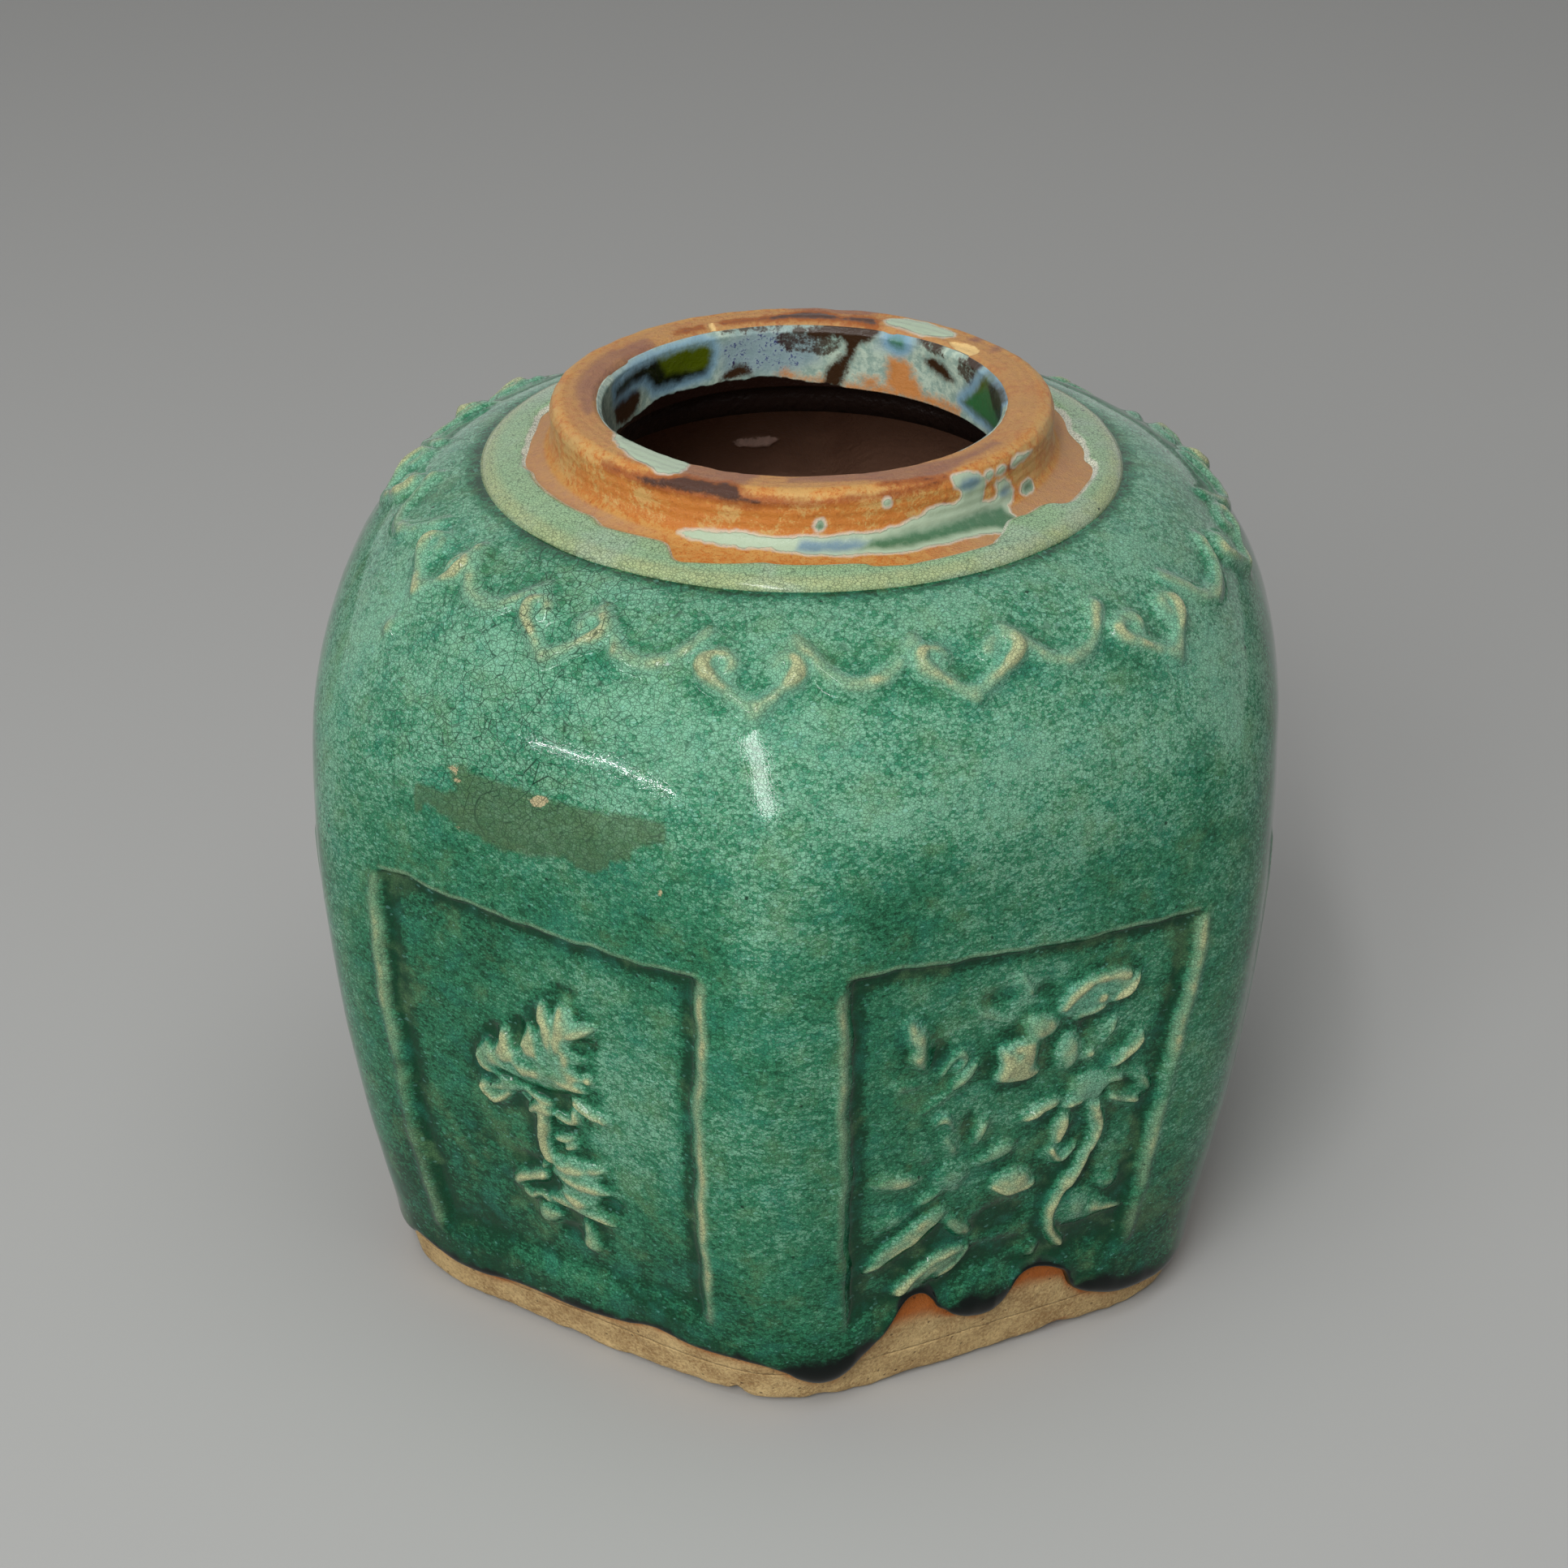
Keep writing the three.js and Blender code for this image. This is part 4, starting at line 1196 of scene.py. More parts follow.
# Everything that runs down inside the mouth, in the same terms
MOUTH_PAINT = {
    "pool": mouth_paint(
        patch(
            (90, 30), (100, 30), (108, 30.8), (114, 31), (118, 32.5), (119.5, 34.5),
            (122, 36.5), (126, 38.5), (128, 40), (124, 41), (110, 41), (95, 41),
        ),
        patch(
            (211.5, 32.5), (216, 31.8), (225, 31.8), (233, 32), (243, 32.5), (251, 33),
            (256, 33.5), (256, 36), (249, 36), (244, 35.5), (238, 36), (235.5, 38),
            (233, 39.6), (226, 39.5), (218, 39.4), (213, 39.2), (211, 37), (210.6, 34),
        ),
        oval(153.5, 32.3, 3.2, 1.3),
    ),
    "fern": mouth_paint(
        patch((98, 34), (112, 33), (124, 38), (126, 40.5), (112, 40.5), (98, 40)),
        oval(153.5, 32.3, 5, 3),
        fade=1.5,
    ),
    "bottle": mouth_paint(
        patch((90, 29), (106, 30), (112, 33), (106, 36), (96, 37), (90, 36)),
        patch((211, 37.6), (222, 37.2), (228, 36.5), (233, 32), (258, 32), (258, 38), (234, 40.5),
              (212, 40.5)),
        fade=0.9,
    ),
    "brown": mouth_paint(
        patch(
            (160, 29), (168, 29), (175, 30.2), (181, 31.5), (183, 32.5), (178, 33),
            (172, 33), (169.5, 34), (170, 36), (173, 38), (176, 40), (177, 43.2), (172, 43.2),
            (170, 40), (168, 37), (166.5, 34.5), (163, 33), (160.5, 31.5),
        ),
        patch((131, 36.6), (134, 35), (137, 34), (141, 33.6), (145, 34.3), (142, 35.5),
              (139, 36.8), (135, 37.1)),
        patch((199, 40.6), (200.5, 38), (203, 37.6), (206.5, 39), (208.5, 40.8)),
        patch((118, 30), (127, 30), (126.5, 32.2), (122, 33.5), (119, 32.4)),
        patch((137, 30), (147, 30), (146, 31.4), (138, 31.6)),
        patch((240, 38), (242, 36.8), (247, 36.2), (252, 36.6), (256, 38), (254, 41), (248, 42.5),
              (241, 41.5)),
    ),
    "orange": mouth_paint(
        patch(
            (149, 36.6), (151, 35.7), (156, 35.7), (156.5, 38), (157, 41), (154, 43.2),
            (142, 43.2), (145, 41), (148, 39),
        ),
        patch((128, 41.4), (140, 41.6), (160, 42), (170, 42.4), (170, 43.5), (128, 43.5)),
        patch((160, 40.4), (166, 41), (164, 43), (160, 43)),
        patch((176, 41.2), (184, 41.4), (188, 40), (190, 41), (176, 43)),
    ),
    "blue": mouth_paint(
        patch((178, 32), (196, 31), (209, 33), (209, 40), (186, 40.5), (178, 38)),
        patch((119, 31), (122, 33), (130, 40), (126, 42), (118, 36)),
        patch((146, 30.5), (160, 31), (161, 34.5), (150, 34.5)),
        fade=2.0,
    ),
    "soot": mouth_paint(
        patch((171, 30.5), (186, 31), (192, 33), (188, 36), (176, 37), (171, 35)),
        patch((119, 31), (131, 31), (130, 35), (122, 36.5)),
        patch((140, 30.5), (146, 31), (142, 33), (134, 33)),
        patch((186, 29.5), (208, 29.8), (208, 31.5), (190, 32)),
        fade=1.0,
    ),
    "below": mouth_paint(
        patch((100, 43.4), (170, 43.4), (176, 42.5), (183, 41.9), (191, 41.2), (200, 40.9),
              (212, 41.2), (222, 40.9), (233, 40.9), (240, 42.2), (250, 42.6), (262, 43.4),
              (262, 45), (100, 45)),
    ),
}


def quads(rows: int, columns: int, around: bool = False) -> np.ndarray:
    """The corners of a grid's faces, which point out when rows rise and angles grow.

    Args:
        rows: How many rows of points there are.
        columns: How many points each row has.
        around: Whether the last column joins the first.

    Returns:
        Four corner numbers for each face.
    """
    spans = columns if around else columns - 1
    row, column = np.meshgrid(np.arange(rows - 1), np.arange(spans), indexing="ij")
    after = (column + 1) % columns
    corners = [
        row * columns + column,
        row * columns + after,
        (row + 1) * columns + after,
        (row + 1) * columns + column,
    ]
    return np.stack(corners, -1).reshape(-1, 4)


def sleeve(rows: int, columns: int) -> list[np.ndarray]:
    """The faces of a grid that closes on itself both ways, like a thick-walled tube.

    Args:
        rows: How many rows of points there are.
        columns: How many points each row has.

    Returns:
        The faces between the rows, and those from the last row to the first.
    """
    grid = np.arange(rows * columns).reshape(rows, columns)
    after = np.roll(grid, -1, axis=1)
    seal = np.stack([grid[-1], after[-1], after[0], grid[0]], -1)
    return [quads(rows, columns, True), seal]


@dataclass
class Piece:
    """The points, faces and painted maps of one mesh, until it is made.

    A map may be shorter than the points. It is then 0 on the last ones.
    """

    name: str
    slot: Slot
    nodes: tuple[str, ...]
    points: np.ndarray
    faces: list[np.ndarray]
    maps: dict[str, np.ndarray] = field(default_factory=dict)
    normals: np.ndarray | None = None

    def make(self, material: bpy.types.Material) -> bpy.types.Object:
        """Makes the mesh, parents it to the body it rides on and hides the imported nodes it
        stands for.

        Args:
            material: The finish.

        Returns:
            The new object.
        """
        mesh = bpy.data.meshes.new(self.name)
        corners = np.concatenate([block.ravel() for block in self.faces]).astype(np.int32)
        sizes = np.concatenate([np.full(len(block), block.shape[1]) for block in self.faces])
        starts = np.r_[0, np.cumsum(sizes)[:-1]].astype(np.int32)
        mesh.vertices.add(len(self.points))
        mesh.vertices.foreach_set("co", (self.points * METRES).astype(np.float32).ravel())
        mesh.loops.add(len(corners))
        mesh.loops.foreach_set("vertex_index", corners)
        mesh.polygons.add(len(sizes))
        mesh.polygons.foreach_set("loop_start", starts)
        mesh.polygons.foreach_set("use_smooth", np.ones(len(sizes), bool))
        mesh.update(calc_edges=True)
        for name, values in self.maps.items():
            painted = np.zeros(len(self.points), np.float32)
            painted[: values.size] = values.ravel()
            mesh.attributes.new(name, "FLOAT", "POINT").data.foreach_set("value", painted)
        if self.normals is not None:
            mesh.normals_split_custom_set_from_vertices(self.normals.reshape(-1, 3).tolist())
        mesh.materials.append(material)
        made = bpy.data.objects.new(self.name, mesh)
        bpy.context.scene.collection.objects.link(made)
        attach(made, BODY)
        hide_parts(*self.nodes)
        LOG.info("%s: %d points, %d faces", self.name, len(self.points), len(sizes))
        return made


class Nodes:
    """The node tree of a material or world, with one way to add a node."""

    def __init__(self, owner: bpy.types.Material | bpy.types.World) -> None:
        """Empties the owner's tree.

        Args:
            owner: The material or world.
        """
        owner.use_nodes = True
        self.tree = owner.node_tree
        self.tree.nodes.clear()

    def add(
        self,
        kind: str,
        settings: dict[str, Any] | None = None,
        inputs: dict[str | int, Any] | None = None,
    ) -> bpy.types.Node:
        """Adds a node.

        Args:
            kind: The node's type.
            settings: Its own settings, set first.
            inputs: A value or a link for each named or numbered socket.

        Returns:
            The node.
        """
        node = self.tree.nodes.new(kind)
        for key, value in (settings or {}).items():
            setattr(node, key, value)
        for key, value in (inputs or {}).items():
            socket = node.inputs[key]
            if isinstance(value, Value):
                self.tree.links.new(value.socket, socket)
            elif isinstance(value, bpy.types.NodeSocket):
                self.tree.links.new(value, socket)
            else:
                socket.default_value = value
        return node

    def value(self, node: bpy.types.Node, output: str | int = 0) -> "Value":
        """Wraps a node's output for sums."""
        return Value(self, node.outputs[output])


class Shader(Nodes):
    """The nodes of one material."""

    def __init__(self, name: str) -> None:
        """Makes an empty material of that name."""
        self.material = bpy.data.materials.new(name)
        super().__init__(self.material)

    def painted(self, name: str) -> "Value":
        """A map that was painted on the mesh's points."""
        return self.value(self.add("ShaderNodeAttribute", {"attribute_name": name}), "Fac")

    def channel(self, colour: bpy.types.NodeSocket) -> "Value":
        """The red part of a colour, as a number."""
        return self.value(self.add("ShaderNodeSeparateColor", {}, {0: colour}))

    def place(self, stretch: tuple[float, float, float] | None = None) -> bpy.types.NodeSocket:
        """The place on the object, in metres.

        Args:
            stretch: A scale for each axis, or none.

        Returns:
            The socket that gives the place.
        """
        where = self.add("ShaderNodeTexCoord").outputs["Object"]
        if stretch is None:
            return where
        return self.add("ShaderNodeMapping", {}, {"Vector": where, "Scale": stretch}).outputs[0]

    def noise(
        self, scale: float, detail: float = 3.0, rough: float = 0.55, where: Any = None
    ) -> "Value":
        """Noise whose features have a size of 1 / scale metres.

        Args:
            scale: The noise's scale.
            detail: Its octaves.
            rough: How strong the finer octaves are.
            where: The place to read it at, or the object's own.

        Returns:
            The noise, from 0 to 1.
        """
        inputs = {"Vector": where or self.place(), "Scale": scale}
        inputs |= {"Detail": detail, "Roughness": rough}
        return self.value(self.add("ShaderNodeTexNoise", {}, inputs), 0)

    def cells(
        self, scale: float, feature: str = "F1", warp: float = 0.0, where: Any = None
    ) -> bpy.types.Node:
        """A Voronoi pattern, bent by noise of the given strength in metres.

        Args:
            scale: The pattern's scale.
            feature: Which Voronoi feature it gives.
            warp: How far the pattern is bent.
            where: The place to read it at, or the object's own.

        Returns:
            The node.
        """
        where = where or self.place()
        if warp:
            inputs = {"Vector": where, "Scale": scale * 0.5, "Detail": 0.0}
            bend = self.add("ShaderNodeTexNoise", {}, inputs)
            centred = self.add(
                "ShaderNodeVectorMath", {"operation": "SUBTRACT"},
                {0: bend.outputs["Color"], 1: (0.5, 0.5, 0.5)},
            )
            scaled = self.add(
                "ShaderNodeVectorMath", {"operation": "SCALE"},
                {0: centred.outputs[0], "Scale": warp},
            )
            where = self.add(
                "ShaderNodeVectorMath", {"operation": "ADD"}, {0: where, 1: scaled.outputs[0]}
            ).outputs[0]
        inputs = {"Vector": where, "Scale": scale}
        return self.add("ShaderNodeTexVoronoi", {"feature": feature}, inputs)

    def mix(self, share: Any, first: Any, second: Any) -> bpy.types.NodeSocket:
        """Blends two colours.

        Args:
            share: How much of the second is shown, from 0 to 1.
            first: The first colour.
            second: The second.

        Returns:
            The socket that gives the blend.
        """
        settings = {"data_type": "RGBA", "clamp_factor": True}
        node = self.add("ShaderNodeMix", settings, {0: share, 6: first, 7: second})
        return node.outputs[2]

    def bump(self, height: "Value", distance: float) -> bpy.types.NodeSocket:
        """Turns a height into a normal, with its reach in metres."""
        inputs = {"Height": height, "Distance": distance, "Strength": 1.0}
        return self.add("ShaderNodeBump", {}, inputs).outputs[0]

    def finish(self, inputs: dict[str | int, Any]) -> bpy.types.Material:
        """Ends the tree in a Principled surface.

        Args:
            inputs: The surface's sockets.

        Returns:
            The material.
        """
        surface = self.add("ShaderNodeBsdfPrincipled", {}, inputs)
        self.add("ShaderNodeOutputMaterial", {}, {"Surface": surface.outputs[0]})
        return self.material


class Value:
    """A number in a node tree, on which Python's operators add Math nodes."""

    def __init__(self, nodes: Nodes, socket: bpy.types.NodeSocket) -> None:
        """Wraps a socket."""
        self.nodes = nodes
        self.socket = socket

    def _sum(self, operation: str, *parts: Any) -> "Value":
        """Adds one Math node over some parts."""
        inputs = dict(enumerate(parts))
        return self.nodes.value(self.nodes.add("ShaderNodeMath", {"operation": operation}, inputs))

    def __add__(self, other: Any) -> "Value":
        """self + other."""
        return self._sum("ADD", self, other)

    __radd__ = __add__

    def __mul__(self, other: Any) -> "Value":
        """self * other."""
        return self._sum("MULTIPLY", self, other)

    __rmul__ = __mul__

    def __sub__(self, other: Any) -> "Value":
        """self - other."""
        return self._sum("SUBTRACT", self, other)

    def __rsub__(self, other: Any) -> "Value":
        """other - self."""
        return self._sum("SUBTRACT", other, self)

    def most(self, other: Any) -> "Value":
        """The larger of the two."""
        return self._sum("MAXIMUM", self, other)

    def least(self, other: Any) -> "Value":
        """The smaller of the two."""
        return self._sum("MINIMUM", self, other)

    def step(self, low: float, high: float) -> "Value":
        """Rises smoothly from 0 at low to 1 at high, or falls if high is the lower.

        Args:
            low: The number that gives 0.
            high: The number that gives 1.

        Returns:
            The share, from 0 to 1.
        """
        settings = {"interpolation_type": "SMOOTHSTEP"}
        inputs = {"Value": self, "From Min": low, "From Max": high}
        return self.nodes.value(self.nodes.add("ShaderNodeMapRange", settings, inputs))


def srgb(red: float, green: float, blue: float) -> Colour:
    """Turns a screen colour into linear light, along the sRGB curve.

    Args:
        red: Its red, from 0 to 255.
        green: Its green.
        blue: Its blue.

    Returns:
        The colour, with an alpha of 1.
    """
    parts = [channel / 255 for channel in (red, green, blue)]
    lit = [part / 12.92 if part < 0.04045 else ((part + 0.055) / 1.055) ** 2.4 for part in parts]
    return (lit[0], lit[1], lit[2], 1.0)


@dataclass(frozen=True)
class GreenGlaze:
    """Green lead glaze: crazed, mottled, dark where it pools and pale where it breaks, with
    painted glints, and painted light and shade in how pale it is drawn.
    """

    light: Colour = srgb(116, 170, 140)
    middle: Colour = srgb(46, 120, 85)
    deep: Colour = srgb(9, 60, 36)
    bottle: Colour = srgb(2, 10, 7)
    moss: Colour = srgb(106, 142, 96)
    teal: Colour = srgb(46, 132, 112)
    painted_glint: Colour = srgb(138, 204, 196)
    veil: Colour = srgb(136, 166, 130)
    broken: Colour = srgb(180, 180, 134)
    sage: Colour = srgb(148, 178, 136)
    straw: Colour = srgb(166, 176, 128)
    mist: Colour = srgb(166, 178, 164)
    halo: Colour = srgb(200, 204, 186)
    olive: Colour = srgb(76, 100, 66)
    flake: Colour = srgb(190, 172, 134)
    line: Colour = srgb(10, 38, 26)

    def build(self) -> bpy.types.Material:
        """Builds the material.

        Returns:
            The material.
        """
        shader = Shader("green_lead_glaze")
        thin, pool = shader.painted("thin"), shader.painted("pool")
        edge, tone_and_painted_light = shader.painted("edge"), shader.painted("tone_and_painted_light")
        flat = shader.place((1.0, 1.0, 1.5))
        fine = shader.noise(3000, 3, 0.75, flat)
        blotch = shader.noise(420, 3, 0.6, flat)
        cloud = shader.noise(75, 4, 0.6, shader.place((1.0, 1.0, 1.8)))
        tint = shader.noise(140, 3, 0.6)
        facets = shader.cells(1500, "F1", 0.00025, flat)
        facet = shader.channel(facets.outputs["Color"])
        craze = shader.value(shader.cells(1500, "DISTANCE_TO_EDGE", 0.00025, flat), 0)
        plate = shader.channel(shader.cells(520, "F1", 0.0008, flat).outputs["Color"])
        crackle = shader.value(shader.cells(520, "DISTANCE_TO_EDGE", 0.0008, flat), 0)
        cracks = shader.value(shader.cells(170, "DISTANCE_TO_EDGE", 0.003), 0)
        shown = shader.painted("craze")
        mottle = (fine - 0.5) * 1.3 + (facet.least(0.7) - 0.455) * 0.85
        mottle = mottle + (plate - 0.5) * 0.3 + (blotch - 0.5) * 0.35
        mottle = mottle * (1 - shown.least(1.0) * 0.25)
        # This paleness map carries painted light and shade as well as the glaze's own thickness
        level = mottle + (cloud - 0.5) * 1.0 + tone_and_painted_light + 0.5 - pool * 0.92
        colour = shader.mix(level.step(-0.35, 0.6), self.deep, self.middle)
        colour = shader.mix(level.step(0.45, 1.25), colour, self.light)
        colour = shader.mix(tint.step(0.5, 0.72) * 0.35, colour, self.moss)
        colour = shader.mix(tint.step(0.48, 0.3) * 0.3, colour, self.teal)
        # Painted glints: pale blue-white specks on a few facets stand in for highlights
        colour = shader.mix(facet.step(0.97, 0.99) * 0.15, colour, self.painted_glint)
        sage = shader.painted("sage")
        band = shader.mix(sage.step(0.45, 1.0), self.straw, self.sage)
        band = shader.mix(cloud.step(0.45, 0.65) * 0.45, band, self.mist)
        colour = shader.mix(sage.step(0.0, 0.5) * (0.6 + blotch * 0.5), colour, band)
        colour = shader.mix((sage + (blotch - 0.5) * 0.5).step(1.05, 1.4), colour, self.halo)
        colour = shader.mix(thin.step(0.0, 0.5) * 0.6, colour, self.veil)
        worn = thin * 1.1 + (blotch - 0.5) * 0.6 + (cloud - 0.5) * 1.1 - 0.5
        colour = shader.mix(worn.step(0.0, 0.75) * 0.85, colour, self.broken)
        label = shader.painted("olive")
        colour = shader.mix(label * (0.5 + blotch * 0.4), colour, self.olive)
        chipped = (shader.painted("flake") + blotch * 0.6 + (fine - 0.5) * 0.6).step(0.95, 1.05)
        colour = shader.mix(chipped * 0.8, colour, self.flake)
        crazing = craze.step(0.13, 0.0) * 0.62
        crackle = crackle.step(0.06, 0.0) * (0.38 + shown * 0.5) * (1 - sage.least(1.0) * 0.7)
        crack = cracks.step(0.014, 0.0) * (shown * 1.2 + cloud - 0.45) * (1 - sage.least(1.0))
        colour = shader.mix(crazing.most(crackle).most(crack * 0.8), colour, self.line)
        specks = shader.value(shader.cells(130, "F1", 0.001), 0)
        colour = shader.mix((specks + fine * 0.06).step(0.09, 0.06) * 0.85, colour, self.line)
        dark = (edge + (blotch - 0.5) * 0.5 * edge.step(0.0, 0.3)).step(0.05, 0.9)
        colour = shader.mix(dark, colour, self.bottle)
        rough = 0.02 + (1 - fine) * 0.03 + label * 0.25 + chipped * 0.3
        dome = shader.value(facets, "Distance")
        dents = (1 - dome) * 0.5 + craze.step(0.0, 0.16) * 0.35 + blotch * 0.5
        normal = shader.bump(dents * (1 - edge), 0.000005)
        return shader.finish(
            {"Base Color": colour, "Roughness": rough, "Normal": normal, "IOR": 1.31}
        )


@dataclass(frozen=True)
class BareClay:
    """Buff stoneware with sandy grain, flashed orange beside the glaze."""

    buff: Colour = srgb(206, 178, 126)
    shade: Colour = srgb(144, 112, 70)
    flash: Colour = srgb(160, 88, 32)
    grit: Colour = srgb(70, 52, 34)

    def build(self) -> bpy.types.Material:
        """Builds the material.

        Returns:
            The material.
        """
        shader = Shader("bare_stoneware")
        grain = shader.noise(1500, 4, 0.75)
        broad = shader.noise(130, 3, 0.6)
        colour = shader.mix((grain * 0.9 + broad * 0.6).step(0.5, 0.95), self.shade, self.buff)
        flash = shader.painted("flash") * (0.35 + broad * 1.1) + (grain - 0.5) * 0.3
        colour = shader.mix(flash.step(0.05, 0.95), colour, self.flash)
        pits = shader.value(shader.cells(420, "F1", 0.0004), 0).step(0.16, 0.05)
        colour = shader.mix(pits * 0.6, colour, self.grit)
        height = grain + shader.noise(420, 3, 0.6) - pits * 0.5
        normal = shader.bump(height, 0.00045)
        return shader.finish({"Base Color": colour, "Roughness": 0.85, "Normal": normal})


@dataclass(frozen=True)
class NeckFinish:
    """The neck's clay, flashed orange, with brown stains and thin runs of glaze."""

    ochre: Colour = srgb(192, 141, 74)
    orange: Colour = srgb(184, 112, 44)
    flesh: Colour = srgb(170, 134, 104)
    film: Colour = srgb(190, 160, 100)
    mauve: Colour = srgb(140, 98, 80)
    rust: Colour = srgb(142, 72, 20)
    stain: Colour = srgb(46, 22, 12)
    celadon: Colour = srgb(158, 178, 152)
    green: Colour = srgb(36, 96, 62)
    blue: Colour = srgb(94, 128, 142)
    halo: Colour = srgb(200, 200, 186)
    chip: Colour = srgb(224, 190, 130)

    def build(self) -> bpy.types.Material:
        """Builds the material.

        Returns:
            The material.
        """
        shader = Shader("flashed_neck_clay")
        grain = shader.noise(2200, 4, 0.75)
        blots = shader.noise(760, 4, 0.7)
        broad = shader.noise(150, 3, 0.6)
        rusty = blots * 1.5 + broad * 0.8 + grain * 1.0 + shader.painted("orange") * 0.25
        colour = shader.mix(rusty.step(1.55, 1.95), self.ochre, self.orange)
        film = (blots * 0.6 + grain * 0.5 + broad).step(1.06, 0.9)
        colour = shader.mix(film * shader.painted("sheen") * 0.8, colour, self.film)
        flecks = (grain * 0.9 + blots * 0.5).step(0.76, 0.9)
        colour = shader.mix(flecks * 0.5, colour, self.rust)
        flesh = shader.painted("flesh") * (0.15 + blots * 1.0)
        colour = shader.mix(flesh, colour, self.flesh)
        mauve = shader.painted("mauve") * (0.2 + broad * 0.7 + blots * 0.5)
        colour = shader.mix(mauve, colour, self.mauve)
        frayed = (blots - 0.5) * 1.8 + (grain - 0.5) * 0.8
        stain = shader.painted("stain") + frayed
        colour = shader.mix(stain.step(-1.3, 0.3) * 0.85, colour, self.rust)
        dark = stain.step(0.15, 1.25)
        colour = shader.mix(dark * 0.92, colour, self.stain)
        glaze = shader.painted("glaze") + frayed * 0.55
        colour = shader.mix(glaze.step(-0.75, -0.1) * 0.65, colour, self.halo)
        tint = shader.mix(shader.painted("blue") * (0.5 + blots), self.celadon, self.blue)
        green = shader.painted("green") * (0.6 + blots * 0.8)
        tint = shader.mix(green, tint, self.green)
        covered = glaze.step(-0.2, 0.25)
        colour = shader.mix(covered * 0.94, colour, tint)
        chip = (shader.painted("chip") + frayed * 0.5).step(-0.15, 0.15)
        colour = shader.mix(chip, colour, self.chip)
        gloss = covered.most(dark * 0.6).most(shader.painted("sheen")) * (1 - chip)
        rough = 0.62 - gloss * 0.46 + (grain - 0.5) * 0.12
        bumps = (grain + blots * 1.2) * (1.1 - gloss * 0.8)
        normal = shader.bump(bumps, 0.00028)
        return shader.finish({"Base Color": colour, "Roughness": rough, "Normal": normal})


@dataclass(frozen=True)
class MouthGlaze:
    """The runs inside the neck: pale celadon, blue specks, brown, orange and green pools."""

    celadon: Colour = srgb(136, 158, 146)
    pale: Colour = srgb(176, 192, 174)
    grey_blue: Colour = srgb(122, 144, 156)
    violet: Colour = srgb(58, 66, 112)
    brown: Colour = srgb(52, 34, 20)
    orange: Colour = srgb(190, 116, 44)
    olive: Colour = srgb(72, 84, 6)
    fern: Colour = srgb(50, 104, 60)
    bottle: Colour = srgb(8, 14, 8)
    halo: Colour = srgb(118, 156, 178)
    lining: Colour = srgb(24, 12, 8)

    def build(self) -> bpy.types.Material:
        """Builds the material.

        Returns:
            The material.
        """
        shader = Shader("mouth_glaze")
        blots = shader.noise(560, 4, 0.7)
        fine = shader.noise(1900, 4, 0.7)
        frayed = (blots - 0.5) * 1.8 + (fine - 0.5) * 0.9
        colour = shader.mix(blots.step(0.38, 0.62), self.celadon, self.pale)
        bluish = shader.painted("blue")
        colour = shader.mix(bluish * (0.35 + blots * 0.7), colour, self.grey_blue)
        specks = (fine * 0.8 + blots * 0.7 + bluish * 0.22).step(1.0, 1.12)
        colour = shader.mix(specks * bluish, colour, self.violet)
        sooty = (shader.painted("soot") + frayed * 1.3).step(0.5, 1.1)
        colour = shader.mix(sooty * 0.9, colour, self.brown)
        orange = (shader.painted("orange") + frayed * 2.2).step(-1.5, 1.3)
        colour = shader.mix(orange * 0.9, colour, self.orange)
        brown = (shader.painted("brown") + frayed * 1.6).step(-1.0, 0.8)
        colour = shader.mix(brown, colour, self.brown)
        pool = shader.painted("pool") + frayed * 0.9
        colour = shader.mix(pool.step(-2.4, 0.0) * 0.9, colour, self.halo)
        green = shader.mix(shader.painted("fern"), self.olive, self.fern)
        green = shader.mix(shader.painted("bottle") * (0.7 + blots * 0.5), green, self.bottle)
        colour = shader.mix(pool.step(-0.9, 1.8), colour, green)
        below = (shader.painted("below") + frayed * 0.3).step(-0.2, 0.2)
        colour = shader.mix(below, colour, self.lining)
        normal = shader.bump(blots + fine * 0.5, 0.00018)
        rough = 0.10 + (1 - fine) * 0.14 + orange * 0.2
        return shader.finish({"Base Color": colour, "Roughness": rough, "Normal": normal})


@dataclass(frozen=True)
class BrownGlaze:
    """The near-black brown lining of the chamber, with a crumb of clay stuck to it and painted
    shade under its roof.
    """

    dark: Colour = srgb(24, 15, 12)
    warm: Colour = srgb(142, 104, 84)
    crumb: Colour = srgb(232, 190, 172)

    def build(self) -> bpy.types.Material:
        """Builds the material.

        Returns:
            The material.
        """
        shader = Shader("brown_lining")
        cloud = shader.noise(60, 4, 0.65)
        fine = shader.noise(900, 3, 0.6)
        # Painted shade: the lining is darkest under the chamber's roof and warmer brown further
        # down
        clear_of_roof_shade = shader.painted("deep") * (0.7 + cloud * 0.6)
        colour = shader.mix(clear_of_roof_shade, self.dark, self.warm)
        crumb = (shader.painted("crumb") + (fine - 0.5) * 1.2).step(-0.1, 0.3)
        colour = shader.mix(crumb * (0.4 + fine), colour, self.crumb)
        normal = shader.bump(cloud * 3 + fine, 0.0004)
        rough = 0.30 + fine * 0.25 + crumb * 0.3
        return shader.finish({"Base Color": colour, "Roughness": rough, "Normal": normal})


# Pale and dark places on the wall: how much, angle and spread, height and spread
WALL_TONES = (
    (-0.22, 13, 6, 108, 16), (-0.26, -9, 10, 108, 16), (0.32, 30, 14, 62, 28),
    (0.28, -15, 8, 62, 28),
)


